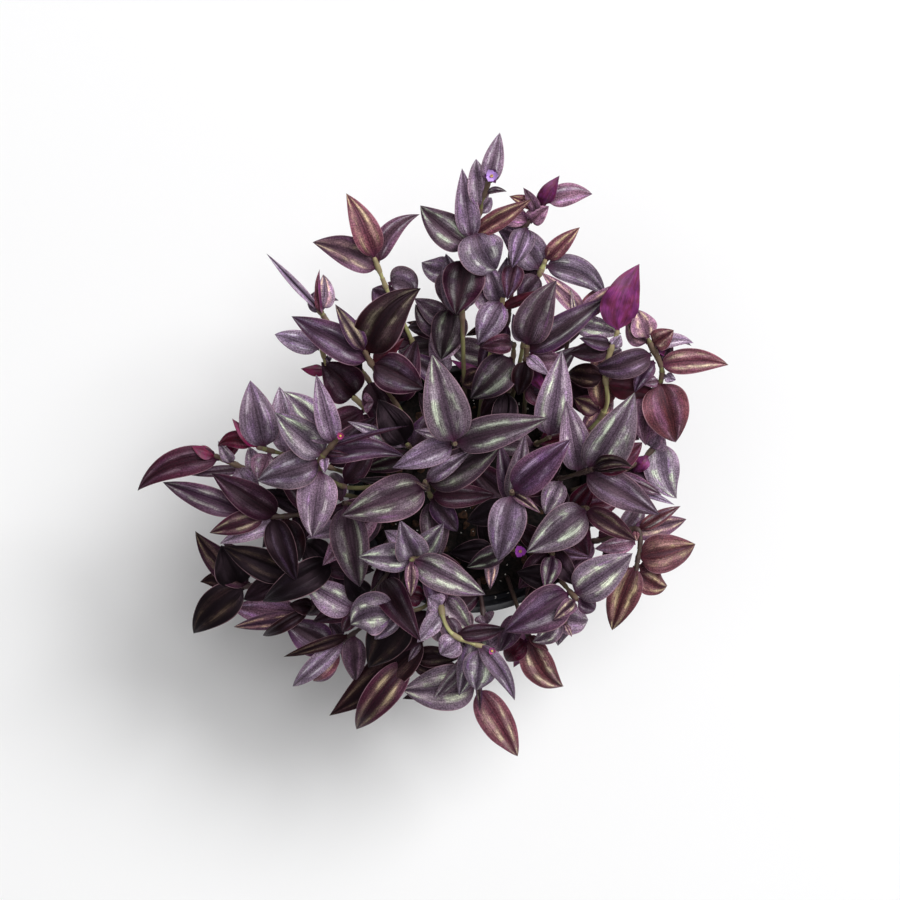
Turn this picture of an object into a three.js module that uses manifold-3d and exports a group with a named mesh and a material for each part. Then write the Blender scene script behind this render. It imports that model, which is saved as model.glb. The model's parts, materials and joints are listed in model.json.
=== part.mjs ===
import * as THREE from "three";
import { mergeVertices } from "three/addons/utils/BufferGeometryUtils.js";
import Module from "manifold-3d";

// A tradescantia in its nursery pot, in millimetres, +Z up, with the origin at the centre of the pot's base.

// Pot
const POT_HEIGHT = 130;
const RIM_RADIUS = 75;
const LIP_WIDTH = 4;
const LIP_HEIGHT = 12;
const LIP_OVERHANG = 4.5;
const LIP_SLOPE = 1.5;
const BASE_RADIUS = 54;
const WALL = 1.8;
const POT_FLOOR = 3;
const POT_SIDES = 36;
const DRAIN_HOLES = 4;
const DRAIN_HOLE_RADIUS = 4.5;
const DRAIN_CIRCLE_RADIUS = 38;

// Soil
const SOIL_LEVEL = 118;
const SOIL_EDGE_LEVEL = 116.3;
const SOIL_BUMP = 1.3;
const ROOT_DEPTH = 16;
const ROOT_HOLE_RADIUS = 3.6;
const ROOT_HOLE_SIDES = 4;

// What touches keeps this gap
const GAP = 0.3;
const SOIL_GAP = 0.6;

// Stems
const STEM_SIDES = 4;
const STEM_STEP = 30;
const STEM_RISE = 10;
const SEAT_DEPTH = 1.5;
const NODE_SPACING = 3.6;
const STEM_BASE_RADIUS = 2.1;
const STEM_TIP_RADIUS = 1.5;

// Leaves
const BLADE_THICKNESS = 0.7;
const OPEN_FOLD = 13;
const ARCH = 0.11;
const SHEATH_LENGTH = 2.6;
const STATIONS = { large: [0, 0.12, 0.36, 0.7, 1], middle: [0, 0.16, 0.5, 1], small: [0, 0.4, 1] };
const LARGE_WIDTH = 20;
const SMALL_WIDTH = 12;
const CROSSING_START = 0.3;

// Lower leaves, which the visible ones cover, one on each stem that is long enough
const LOWER_LEAF_STEM = 45;
const LOWER_LEAF_PLACE = 0.45;
const LOWER_LEAF_LENGTH = [30, 42];
const LOWER_LEAF_DROP = [2, 14];
const LOWER_LEAF_SLENDERNESS = 0.46;
const GOLDEN_ANGLE = 2.4;
const SEED = 41;

// Bends that a leaf tries in turn until it is clear of its neighbours: the change of its tip's height and of its arch
const RISE_BENDS = [0, -3, 3, -6, 6, -10, 10, -14, 14, -19, 19, -25, 25, -32, 32];
const ARCH_BENDS = [0, 4, -4, 8];

// The plan is read off a photograph taken from straight above: where its eye stands, and its focal length and
// centre in pixels
const EYE = { x: -13.55, y: 23.2, z: 1300 };
const FOCAL_PIXELS = 1942;
const CENTRE_PIXEL = 450;

// Each shoot has the points of its stem, as [pixel x, pixel y, height], from its root in the soil to its tip,
// and its leaves, as [stem point, tip pixel x, tip pixel y, rise of the tip, width, roll, fold, bow]. The first
// stem point is its root, so it has no height. Widths, rises and bows are in millimetres, angles in degrees.
const SHOOTS = {
  centre_north: {
    stem: [[449, 430], [452, 439, 188], [455, 444, 222]],
    leaves: [
      [2, 432, 354, 6, 26.5],
      [2, 549, 418, 2, 20.5],
      [2, 392, 468, -4, 16],
      [1, 414, 430, 4, 8],
      [1, 494, 462, -12, 16],
      [1, 418, 392, -14, 14],
    ],
  },
  centre_east: {
    stem: [[514, 512], [513, 502, 185], [512, 491, 218]],
    leaves: [
      [2, 571, 439, 6, 21],
      [2, 498, 562, -12, 22],
      [2, 541, 513, 0, 8, 20, 40],
      [1, 525, 433, 16, 15],
      [1, 499, 441, 8, 13],
      [1, 466, 522, -18, 16],
    ],
  },
  centre_west: {
    stem: [[436, 505], [430, 495, 178], [425, 481, 208]],
    leaves: [
      [2, 473, 449, 6, 10],
      [2, 504, 441, -3, 19.5],
      [2, 341, 516, -8, 26.5],
      [2, 355, 479, -4, 8],
      [2, 413, 480, 7, 3],
      [1, 497, 495, -6, 15],
      [1, 458, 532, -14, 14],
    ],
  },
  west_star: {
    stem: [[392, 478], [352, 489, 160], [318, 468, 190], [326, 455, 197], [334, 441, 203], [340, 436, 207]],
    leaves: [
      [4, 316, 374, 10, 17],
      [4, 409, 425, 6, 9, 35, 62],
      [4, 350, 455, 6, 4],
      [4, 274, 412, -3, 21],
      [3, 325, 473, 5, 7, 0, 35],
      [3, 257, 481, -8, 23],
      [4, 406, 457, -8, 14],
      [2, 312, 538, -10, 24],
    ],
  },
  east_centre: {
    stem: [[546, 482], [561, 478, 168], [580, 474, 188], [593, 469, 198]],
    leaves: [
      [3, 632, 469, 6, 7, 0, 62],
      [3, 635, 392, 8, 24],
      [3, 660, 515, -12, 20.5],
      [2, 566, 400, 8, 19.5],
      [1, 545, 515, -8, 15],
      [1, 532, 452, -8, 15],
    ],
  },
  centre_south_west: {
    stem: [[430, 548], [419, 556, 168], [411, 560, 190]],
    leaves: [
      [2, 411, 597, -2, 9, 0, 30],
      [2, 486, 595, -6, 20.5],
      [2, 358, 557, -4, 18],
      [2, 400, 520, 14, 20],
      [1, 444, 523, 10, 15],
      [1, 362, 551, -2, 14],
      [1, 384, 530, -10, 14],
    ],
  },
  north_flowering: {
    stem: [[466, 414], [463, 345, 165], [465, 262, 190], [476, 226, 200], [480, 208, 206], [485, 192, 212],
      [488, 184, 216], [490, 177, 219]],
    leaves: [
      [3, 498, 269, -12, 20.5],
      [6, 500, 132, 3, 12.5],
      [5, 507, 191, 2, 7, 30, 65],
      [3, 532, 199, 3, 8],
      [3, 462, 168, 10, 14.7],
      [3, 420, 205, -2, 21, 0, 13, -4],
      [4, 476, 158, -2, 12.5],
      [4, 492, 197, -6, 8],
    ],
  },
  north_east: {
    stem: [[486, 410], [505, 336, 158], [514, 276, 178], [521, 226, 188], [528, 220, 191], [540, 204, 195],
      [546, 201, 197]],
    leaves: [
      [4, 549, 206, 5, 12.5, 0, 30],
      [6, 593, 194, -5, 13.5, 0, 13, -2],
      [6, 559, 176, 4, 11, 155],
      [5, 509, 196, 2, 8],
      [5, 523, 187, 4, 7],
      [3, 498, 219, -4, 7],
    ],
  },
  north_east_low: {
    stem: [[508, 414], [522, 352, 150], [531, 298, 165], [536, 283, 168], [541, 270, 172], [546, 259, 176]],
    leaves: [
      [5, 580, 227, 6, 11.5],
      [5, 606, 298, -12, 17, 0, 13, -5.5],
      [5, 496, 228, -2, 20, 0, 13, -2.5],
      [3, 508, 250, -4, 16],
      [4, 518, 302, -8, 14],
    ],
  },
  north_west: {
    stem: [[436, 414], [415, 348, 150], [396, 308, 165], [383, 284, 172], [379, 272, 175], [374, 257, 179]],
    leaves: [
      [5, 346, 193, 6, 16.5],
      [5, 420, 214, 2, 13, 0, 13, -3],
      [5, 312, 242, -6, 19],
      [3, 416, 296, -4, 15, 0, 13, -7],
    ],
  },
  north_west_far: {
    stem: [[404, 432], [372, 385, 148], [342, 343, 160], [318, 308, 166]],
    leaves: [
      [3, 266, 253, 4, 10, 0, 60],
      [3, 319, 269, 6, 9, 40, 62],
      [3, 339, 300, -4, 13, 0, 13, -9],
    ],
  },
  north_west_near: {
    stem: [[418, 446], [395, 400, 155], [367, 364, 176], [364, 350, 181]],
    leaves: [
      [3, 335, 304, 6, 11.5],
      [3, 421, 288, 4, 23, 0, 13, -3],
      [3, 291, 316, -5, 20.5],
      [3, 404, 338, -3, 11, 155],
      [2, 424, 389, -8, 24],
    ],
  },
  west_upper: {
    stem: [[398, 458], [378, 424, 142], [354, 397, 152], [323, 369, 158], [317, 355, 161], [321, 347, 163]],
    leaves: [
      [5, 274, 334, -8, 14],
      [2, 321, 362, 8, 23],
      [3, 301, 369, 2, 9, 150],
      [4, 331, 361, -1, 5],
      [2, 374, 402, 0, 12],
      [1, 350, 430, 0, 17],
    ],
  },
  upper_middle: {
    stem: [[452, 412], [446, 374, 138], [451, 322, 158], [459, 276, 172], [461, 264, 175]],
    leaves: [
      [4, 454, 315, -3, 25],
      [4, 421, 262, -4, 17, 0, 13, -2.5],
      [2, 441, 362, -3, 20],
      [2, 415, 304, 2, 17, 0, 13, -3],
      [1, 430, 330, 10, 13],
      [1, 398, 350, 6, 15],
    ],
  },
  upper_middle_east: {
    stem: [[478, 424], [486, 372, 148], [498, 320, 168], [503, 297, 178]],
    leaves: [
      [3, 478, 344, -10, 18.5],
      [3, 486, 262, 3, 15],
      [3, 544, 290, 0, 8, 145],
      [2, 465, 336, -6, 6],
      [3, 470, 272, 0, 16],
      [1, 450, 360, 2, 7, 150],
    ],
  },
  north_middle: {
    stem: [[500, 428], [508, 388, 148], [516, 354, 164], [514, 343, 169]],
    leaves: [
      [3, 478, 345, -2, 11.5],
      [2, 470, 399, -6, 21],
      [1, 480, 420, -4, 15],
    ],
  },
  north_east_middle: {
    stem: [[522, 428], [526, 382, 155], [525, 357, 172], [527, 345, 178]],
    leaves: [
      [3, 557, 280, 8, 20],
      [3, 608, 297, -2, 17],
      [3, 550, 376, 4, 8],
      [3, 576, 332, -7, 9, 150],
      [2, 518, 396, -10, 13],
      [2, 566, 360, -6, 13],
      [2, 544, 392, -12, 9, 155],
      [1, 545, 405, -6, 13],
    ],
  },
  north_east_centre: {
    stem: [[526, 450], [538, 443, 158], [550, 437, 182]],
    leaves: [
      [2, 562, 350, 12, 22],
      [1, 592, 430, 2, 14],
      [1, 520, 470, -4, 14],
    ],
  },
  far_north_east: {
    stem: [[542, 436], [557, 385, 148], [570, 338, 162], [575, 322, 166], [575, 304, 171], [599, 297, 173]],
    leaves: [
      [4, 541, 272, 6, 11.5],
      [4, 622, 282, 4, 11.5],
      [4, 571, 288, 5, 4],
      [5, 632, 284, -2, 7],
      [3, 622, 334, 4, 12.5],
    ],
  },
  north_east_stem: {
    stem: [[558, 450], [585, 434, 143], [605, 412, 158], [606, 376, 172], [606, 348, 180], [618, 330, 184]],
    leaves: [
      [5, 639, 264, 4, 21, 160],
      [4, 568, 353, -4, 13],
      [4, 622, 349, -2, 9],
      [3, 566, 374, -14, 15],
      [2, 574, 398, -4, 13],
      [3, 656, 396, -12, 19, 150],
      [2, 640, 440, -8, 15],
      [1, 614, 398, -6, 15],
    ],
  },
  east_upper: {
    stem: [[568, 464], [612, 436, 146], [645, 404, 155], [661, 379, 166], [662, 362, 172], [650, 352, 176],
      [648, 338, 180]],
    leaves: [
      [6, 637, 309, 3, 16],
      [6, 674, 330, 3, 9],
      [6, 692, 346, -3, 6, 0, 13, -5],
      [6, 665, 344, -4, 11, 155],
      [5, 593, 368, -4, 16, 0, 13, -3],
      [4, 729, 365, -6, 15.5],
      [4, 672, 341, -2, 8],
      [4, 676, 380, -2, 6],
      [4, 641, 384, -2, 7],
      [3, 676, 443, -12, 29],
      [3, 646, 446, -10, 18],
      [2, 620, 375, -4, 14, 150],
    ],
  },
  east_lower: {
    stem: [[571, 490], [618, 474, 141], [652, 452, 142], [664, 438, 141]],
    leaves: [
      [3, 677, 499, -14, 24, 0, 13, 4.5],
      [2, 633, 472, -4, 10, 155],
      [1, 662, 495, 2, 10],
      [1, 675, 505, -4, 7],
    ],
  },
  east_middle: {
    stem: [[560, 512], [575, 509, 163], [588, 508, 178]],
    leaves: [
      [2, 526, 553, -2, 25],
      [2, 637, 541, -9, 13.5],
      [2, 614, 530, -10, 7, 150, 50],
      [1, 622, 500, -6, 15],
      [1, 596, 478, 4, 13],
      [1, 612, 522, -14, 13],
      [1, 588, 560, -16, 15],
    ],
  },
  east_far: {
    stem: [[560, 532], [600, 541, 146], [626, 538, 150], [638, 530, 156], [633, 545, 159], [636, 560, 158],
      [636, 573, 155]],
    leaves: [
      [3, 637, 541, 6, 3.5],
      [3, 687, 519, -4, 15],
      [5, 696, 544, -6, 22],
      [6, 668, 586, -8, 11.5, 0, 13, 2],
      [6, 612, 631, -12, 20, 0, 13, 1.5],
      [2, 644, 500, -4, 14],
      [4, 594, 549, -6, 10.5],
    ],
  },
  south_east: {
    stem: [[540, 556], [562, 582, 156], [577, 600, 170]],
    leaves: [
      [2, 553, 620, 3, 9, 0, 40],
      [2, 633, 553, 0, 25],
      [2, 504, 632, -6, 26.5],
      [1, 516, 572, -8, 16],
    ],
  },
  south_east_low: {
    stem: [[524, 571], [548, 606, 146], [566, 624, 145]],
    leaves: [
      [2, 572, 637, 2, 3.5],
      [2, 532, 642, -3, 11.5],
      [2, 589, 620, -8, 14],
    ],
  },
  south_low: {
    stem: [[507, 577], [520, 614, 144], [529, 639, 126]],
    leaves: [
      [2, 564, 687, -14, 19.5, 0, 13, 2.5],
      [2, 549, 651, 3, 6],
      [2, 514, 667, -14, 14, 155],
      [1, 500, 652, -10, 14],
    ],
  },
  south_stem: {
    stem: [[455, 574], [441, 597, 150], [434, 619, 157], [458, 636, 159], [484, 648, 155], [491, 650, 154]],
    leaves: [
      [1, 472, 633, 2, 17],
      [2, 461, 650, -6, 13],
      [1, 425, 622, 3, 9],
      [2, 417, 643, -3, 12],
      [4, 476, 691, -8, 17],
      [4, 515, 701, -8, 11.5],
      [3, 506, 628, -10, 11],
    ],
  },
  south_far: {
    stem: [[478, 580], [483, 612, 138], [481, 650, 134], [477, 690, 126]],
    leaves: [
      [3, 518, 757, -16, 19.5, 0, 13, -2.5],
      [3, 402, 690, -6, 29, 0, 13, -1],
      [3, 480, 711, 2, 4],
      [1, 488, 624, 2, 13],
      [2, 430, 704, -14, 12],
      [2, 436, 654, 4, 14],
    ],
  },
  south_west_far: {
    stem: [[438, 578], [434, 614, 141], [420, 642, 129], [409, 663, 121]],
    leaves: [
      [3, 356, 730, -14, 21, 0, 13, 2],
      [3, 461, 658, 4, 8],
      [3, 458, 666, 0, 7],
      [2, 408, 662, 6, 5],
      [2, 329, 716, -20, 25],
      [1, 376, 655, -6, 20, 155],
    ],
  },
  south_west_stem: {
    stem: [[424, 574], [429, 600, 144], [418, 615, 152], [395, 615, 157]],
    leaves: [
      [3, 350, 625, -10, 23, 0, 13, -9],
      [3, 374, 640, -8, 11],
      [1, 398, 592, 0, 13],
    ],
  },
  south_west: {
    stem: [[400, 550], [380, 584, 142], [354, 612, 147]],
    leaves: [
      [2, 304, 581, -3, 21],
      [2, 342, 633, -8, 10],
      [2, 312, 622, -10, 15],
    ],
  },
  south_west_low: {
    stem: [[410, 564], [386, 607, 141], [352, 634, 130], [331, 648, 123]],
    leaves: [
      [3, 284, 621, 2, 23],
      [3, 313, 682, -10, 11.5],
      [3, 354, 681, -6, 7, 0, 40],
      [3, 292, 687, -12, 12.5],
      [3, 283, 657, -8, 8],
      [2, 356, 681, -12, 15],
    ],
  },
  west_low: {
    stem: [[390, 538], [352, 584, 141], [318, 598, 126], [301, 616, 123]],
    leaves: [
      [3, 229, 607, -2, 20],
      [3, 236, 628, -12, 10],
      [3, 262, 636, -8, 9],
    ],
  },
  west_lower_far: {
    stem: [[382, 526], [332, 564, 145], [290, 576, 140], [256, 586, 134], [238, 588, 131]],
    leaves: [
      [2, 222, 546, 4, 20],
      [4, 221, 545, 5, 23],
      [4, 193, 634, -12, 22],
      [4, 195, 531, -4, 13],
      [1, 262, 602, -6, 20],
      [1, 338, 598, -8, 13],
    ],
  },
  west_middle: {
    stem: [[377, 513], [325, 512, 152], [281, 516, 161], [263, 518, 165], [240, 512, 164]],
    leaves: [
      [3, 209, 533, -3, 14],
      [3, 297, 582, -12, 17.5],
      [3, 211, 473, 4, 20],
      [4, 162, 482, -8, 14, 0, 13, 2.5],
      [2, 300, 562, -16, 18],
      [2, 262, 548, -10, 14],
      [3, 219, 544, -12, 12],
      [1, 258, 490, -6, 16],
    ],
  },
  west_far: {
    stem: [[374, 500], [334, 494, 146], [297, 494, 150], [265, 480, 157], [235, 460, 162], [214, 455, 165]],
    leaves: [
      [5, 192, 447, 4, 9, 155],
      [5, 137, 491, -6, 18, 0, 13, 4.5],
      [5, 246, 424, 3, 9, 140],
      [5, 218, 441, 5, 8],
      [5, 237, 477, -5, 8],
      [5, 184, 474, -10, 7],
      [4, 258, 500, -10, 15],
      [3, 290, 452, 0, 13],
    ],
  },
  west_upper_middle: {
    stem: [[376, 484], [332, 468, 156], [290, 456, 170], [257, 447, 178]],
    leaves: [
      [3, 232, 419, 5, 8.5, 150],
      [3, 250, 380, 3, 21],
      [3, 259, 481, -8, 17],
      [2, 279, 386, -4, 20],
    ],
  },
  west_centre: {
    stem: [[398, 518], [371, 506, 154], [343, 503, 168]],
    leaves: [
      [2, 360, 588, -14, 23],
      [1, 366, 545, -6, 14],
      [1, 322, 566, -18, 19],
      [1, 306, 538, -4, 17],
    ],
  },
  centre_north_west: {
    stem: [[420, 466], [414, 452, 150], [407, 444, 168]],
    leaves: [
      [2, 378, 399, 2, 21],
      [2, 347, 421, -4, 9],
      [1, 432, 410, 4, 18],
      [1, 362, 470, -6, 13],
    ],
  },
  centre_south: {
    stem: [[490, 548], [497, 540, 136], [507, 556, 150], [519, 551, 158]],
    leaves: [
      [2, 466, 568, -4, 13],
      [1, 449, 553, -4, 15],
      [1, 490, 590, -6, 9],
      [1, 480, 500, 4, 13],
    ],
  },
  centre_south_east: {
    stem: [[538, 542], [545, 549, 146], [553, 554, 155]],
    leaves: [
      [2, 541, 590, -4, 10, 0, 35],
      [2, 518, 589, -8, 16],
      [2, 579, 587, -10, 15],
      [2, 593, 558, -5, 8],
      [1, 524, 604, -8, 8],
      [1, 510, 520, 6, 14],
    ],
  },
};

// Each flower stands on the last stem point of its shoot: [name, shoot, petal length]
const FLOWERS = [
  ["flower_north", "north_flowering", 5.5],
  ["flower_west", "west_star", 3.6],
  ["flower_south", "south_stem", 3.4],
  ["flower_centre", "centre_south", 4],
];
const FLOWER_SIDES = 12;
const PETAL_RISE = 2.2;
const PETAL_NOTCH = 0.4;
const CALYX_RADIUS = 1.3;
const CALYX_HEIGHT = 3;
const FLOWER_LIFT = 0.05;

const wasm = await Module();
wasm.setup();

const radians = THREE.MathUtils.degToRad;

// The point at a given height that the photograph shows at a pixel
function seen(pixelX, pixelY, height) {
  const scale = (EYE.z - height) / FOCAL_PIXELS;
  return new THREE.Vector3(
    EYE.x + (pixelX - CENTRE_PIXEL) * scale,
    EYE.y - (pixelY - CENTRE_PIXEL) * scale,
    height,
  );
}

// Solids and meshes
function solidOf(geometry) {
  const bare = new THREE.BufferGeometry().setAttribute("position", geometry.getAttribute("position"));
  if (geometry.index) {
    bare.setIndex(geometry.index);
  }
  const merged = mergeVertices(bare, 1e-4);
  return new wasm.Manifold(
    new wasm.Mesh({
      numProp: 3,
      vertProperties: merged.attributes.position.array,
      triVerts: new Uint32Array(merged.index.array),
    }),
  );
}

function geometryOf(solid) {
  const mesh = solid.getMesh();
  const geometry = new THREE.BufferGeometry();
  geometry.setAttribute("position", new THREE.BufferAttribute(new Float32Array(mesh.vertProperties), 3));
  geometry.setIndex(new THREE.BufferAttribute(new Uint32Array(mesh.triVerts), 1));
  geometry.computeVertexNormals();
  return geometry;
}

function uprightCylinder(x, y, bottom, top, radius, sides) {
  const cylinder = new THREE.CylinderGeometry(radius, radius, top - bottom, sides);
  cylinder.rotateX(Math.PI / 2);
  cylinder.translate(x, y, (bottom + top) / 2);
  return solidOf(cylinder);
}

function turned(profile, sides) {
  const points = profile.map(([radius, height]) => new THREE.Vector2(radius, height));
  const geometry = new THREE.LatheGeometry(points, sides);
  geometry.rotateX(Math.PI / 2);
  return geometry;
}

// Pot
const WALL_TOP = POT_HEIGHT - LIP_HEIGHT - 2;
const WALL_TOP_RADIUS = RIM_RADIUS - LIP_OVERHANG - 2;

function makePot() {
  const lipFoot = POT_HEIGHT - LIP_HEIGHT;
  const profile = [
    [0, 0],
    [BASE_RADIUS, 0],
    [WALL_TOP_RADIUS, WALL_TOP],
    [RIM_RADIUS - 2, lipFoot],
    [RIM_RADIUS, POT_HEIGHT],
    [RIM_RADIUS - LIP_WIDTH, POT_HEIGHT],
    [RIM_RADIUS - LIP_WIDTH - LIP_SLOPE, lipFoot + 1],
    [WALL_TOP_RADIUS - WALL, WALL_TOP],
    [BASE_RADIUS - WALL, POT_FLOOR],
    [0, POT_FLOOR],
  ];
  let pot = solidOf(turned(profile, POT_SIDES));
  for (let k = 0; k < DRAIN_HOLES; k++) {
    const angle = (2 * Math.PI * k) / DRAIN_HOLES;
    const x = DRAIN_CIRCLE_RADIUS * Math.cos(angle);
    const y = DRAIN_CIRCLE_RADIUS * Math.sin(angle);
    pot = pot.subtract(uprightCylinder(x, y, -1, POT_FLOOR + 1, DRAIN_HOLE_RADIUS, 10));
  }
  return pot;
}

// Soil
const SOIL_EDGE_RADIUS = WALL_TOP_RADIUS - WALL - SOIL_GAP;
const SOIL_RINGS = [54, 38, 20];
const SOIL_SIDES = 26;

function soilHeight(x, y) {
  const broad = Math.sin(0.11 * x + 0.4) * Math.cos(0.09 * y - 0.7);
  const fine = Math.sin(0.31 * x - 0.23 * y) * Math.cos(0.27 * x + 0.35 * y);
  return SOIL_LEVEL + SOIL_BUMP * (0.7 * broad + 0.5 * fine);
}

function makeSoil(roots) {
  const bottom = POT_FLOOR + GAP;
  const profile = [
    [0, bottom],
    [BASE_RADIUS - WALL - SOIL_GAP, bottom],
    [SOIL_EDGE_RADIUS, SOIL_EDGE_LEVEL],
    ...SOIL_RINGS.map((radius) => [radius, SOIL_LEVEL]),
    [0, SOIL_LEVEL],
  ];
  const geometry = turned(profile, SOIL_SIDES);
  const position = geometry.getAttribute("position");
  for (let i = 0; i < position.count; i++) {
    if (position.getZ(i) > SOIL_EDGE_LEVEL + GAP) {
      position.setZ(i, soilHeight(position.getX(i), position.getY(i)));
    }
  }
  let soil = solidOf(geometry);
  const foot = SOIL_LEVEL - ROOT_DEPTH - GAP;
  for (const root of roots) {
    soil = soil.subtract(uprightCylinder(root.x, root.y, foot, SOIL_LEVEL + 9, ROOT_HOLE_RADIUS, ROOT_HOLE_SIDES));
  }
  return soil;
}

// Stems. A stem's course stands upright in its hole, then follows a smooth curve through its points in straight
// steps of equal length.
class Course extends THREE.Curve {
  constructor(rows) {
    super();
    const [rootX, rootY] = rows[0];
    const root = seen(rootX, rootY, SOIL_LEVEL);
    this.points = [root.clone().setZ(SOIL_LEVEL + STEM_RISE)];
    for (const [x, y, height] of rows.slice(1)) {
      this.points.push(seen(x, y, height));
    }
    const curve = new THREE.CatmullRomCurve3(this.points, false, "centripetal");
    const steps = Math.ceil(curve.getLength() / STEM_STEP);
    this.bends = [root.clone().setZ(SOIL_LEVEL - ROOT_DEPTH), ...curve.getSpacedPoints(steps)];
    this.steps = steps + 1;
  }

  getPoint(t) {
    const before = Math.min(Math.floor(t * this.steps), this.steps - 1);
    return this.bends[before].clone().lerp(this.bends[before + 1], t * this.steps - before);
  }

  getPointAt(t) {
    return this.getPoint(t);
  }

  getTangentAt(t) {
    return this.getTangent(t);
  }
}

// How far along the course the point nearest to a target lies
function lengthAt({ bends }, target) {
  const nearest = new THREE.Vector3();
  let [walked, best, distance] = [0, 0, Infinity];
  for (let i = 0; i + 1 < bends.length; i++) {
    const step = new THREE.Line3(bends[i], bends[i + 1]);
    step.closestPointToPoint(target, true, nearest);
    if (nearest.distanceTo(target) < distance) {
      distance = nearest.distanceTo(target);
      best = walked + nearest.distanceTo(bends[i]);
    }
    walked += step.distance();
  }
  return best;
}

// The point at a length along the course
function pointAt({ bends }, length) {
  let left = Math.max(length, 0);
  for (let i = 0; i + 1 < bends.length; i++) {
    const step = bends[i].distanceTo(bends[i + 1]);
    if (left <= step || i + 2 === bends.length) {
      return bends[i].clone().lerp(bends[i + 1], Math.min(left / step, 1));
    }
    left -= step;
  }
  return bends[0].clone();
}

function makeStem(course) {
  const { steps, bends } = course;
  const section = new THREE.Shape();
  for (let k = 0; k < STEM_SIDES; k++) {
    const angle = (2 * Math.PI * k) / STEM_SIDES;
    const x = STEM_BASE_RADIUS * Math.cos(angle);
    const y = STEM_BASE_RADIUS * Math.sin(angle);
    if (k === 0) {
      section.moveTo(x, y);
    } else {
      section.lineTo(x, y);
    }
  }
  const geometry = new THREE.ExtrudeGeometry(section, { steps, bevelEnabled: false, extrudePath: course });
  const position = geometry.getAttribute("position");
  const point = new THREE.Vector3();
  for (let i = 0; i < position.count; i++) {
    point.fromBufferAttribute(position, i);
    const distances = bends.map((centre) => centre.distanceTo(point));
    const ring = distances.indexOf(Math.min(...distances));
    const radius = THREE.MathUtils.lerp(STEM_BASE_RADIUS, STEM_TIP_RADIUS, ring / steps);
    point.sub(bends[ring]).multiplyScalar(radius / STEM_BASE_RADIUS).add(bends[ring]);
    position.setXYZ(i, point.x, point.y, point.z);
  }
  return solidOf(geometry);
}

// Leaves. A blade runs from its seat on the stem to its tip, t from 0 to 1, in three columns: its two edges and
// its midrib. It is widest at about a third of its length and pointed at its tip.
function halfWidth(t, width, sheath) {
  const along = Math.max(t - sheath, 0) / (1 - sheath);
  return (width / 2) * Math.sin(Math.PI * along ** 0.7) ** 0.9;
}

function bladeFrame(leaf, t) {
  const { seat, tip, roll, bow, arch } = leaf;
  const chord = tip.clone().sub(seat);
  const ahead = chord.clone().normalize();
  const up = new THREE.Vector3(0, 0, 1).addScaledVector(ahead, -ahead.z).normalize();
  const right = ahead.clone().cross(up);
  const swing = 4 * t * (1 - t);
  const centre = seat.clone().addScaledVector(chord, t);
  centre.addScaledVector(up, arch * swing);
  centre.addScaledVector(right, bow * swing);
  const slope = 4 * (1 - 2 * t);
  const tangent = chord.clone().addScaledVector(up, arch * slope).addScaledVector(right, bow * slope).normalize();
  const side = right.multiplyScalar(Math.cos(roll)).addScaledVector(up, Math.sin(roll));
  side.addScaledVector(tangent, -side.dot(tangent)).normalize();
  const normal = side.clone().cross(tangent);
  return { centre, side, normal };
}

// The blade's upper and lower points at one station: one pair at either end, and elsewhere one for each column
function bladeStation(leaf, t, thickness, margin) {
  const { centre, side, normal } = bladeFrame(leaf, t);
  const isEnd = t === 0 || t === 1;
  const sheath = SHEATH_LENGTH / leaf.tip.distanceTo(leaf.seat);
  const half = isEnd ? 0 : halfWidth(t, leaf.width, sheath) + margin;
  const columns = isEnd ? [0] : [-1, 0, 1];
  return columns.map((column) => {
    const point = centre.clone();
    point.addScaledVector(side, column * half * Math.cos(leaf.fold));
    point.addScaledVector(normal, Math.abs(column) * half * Math.sin(leaf.fold));
    const lift = normal.clone();
    if (column !== 0) {
      lift.multiplyScalar(Math.cos(leaf.fold)).addScaledVector(side, -column * Math.sin(leaf.fold));
    } else if (!isEnd) {
      lift.multiplyScalar(1 / Math.cos(leaf.fold));
    }
    lift.multiplyScalar(thickness / 2);
    return [point.clone().add(lift), point.clone().sub(lift)];
  });
}

// One closed blade. Its two faces are split into triangles alike, so they never cross.
function bladeSolid(leaf, thickness = BLADE_THICKNESS, margin = 0, start = 0) {
  const stations = start > 0 ? [start, ...leaf.stations.filter((t) => t > start)] : leaf.stations;
  const points = [];
  const rows = stations.map((t) =>
    bladeStation(leaf, t, thickness, margin).map(([upper, lower]) => {
      points.push(upper, lower);
      return { upper: points.length - 2, lower: points.length - 1 };
    }),
  );
  const faces = [];
  const quad = (a, b, c, d) => faces.push(a, b, c, a, c, d);
  for (let i = 0; i + 1 < rows.length; i++) {
    const [near, far] = [rows[i], rows[i + 1]];
    for (const left of [0, 1]) {
      if (near.length === 1) {
        faces.push(near[0].upper, far[left + 1].upper, far[left].upper);
        faces.push(near[0].lower, far[left].lower, far[left + 1].lower);
      } else if (far.length === 1) {
        faces.push(near[left].upper, near[left + 1].upper, far[0].upper);
        faces.push(near[left].lower, far[0].lower, near[left + 1].lower);
      } else {
        quad(near[left].upper, near[left + 1].upper, far[left + 1].upper, far[left].upper);
        faces.push(near[left].lower, far[left + 1].lower, near[left + 1].lower);
        faces.push(near[left].lower, far[left].lower, far[left + 1].lower);
      }
    }
    quad(near[0].lower, near[0].upper, far[0].upper, far[0].lower);
    quad(near.at(-1).upper, near.at(-1).lower, far.at(-1).lower, far.at(-1).upper);
  }
  if (rows[0].length > 1) {
    for (const left of [0, 1]) {
      quad(rows[0][left].lower, rows[0][left + 1].lower, rows[0][left + 1].upper, rows[0][left].upper);
    }
  }
  const geometry = new THREE.BufferGeometry().setFromPoints(points);
  geometry.setIndex(faces);
  return solidOf(geometry);
}

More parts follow.
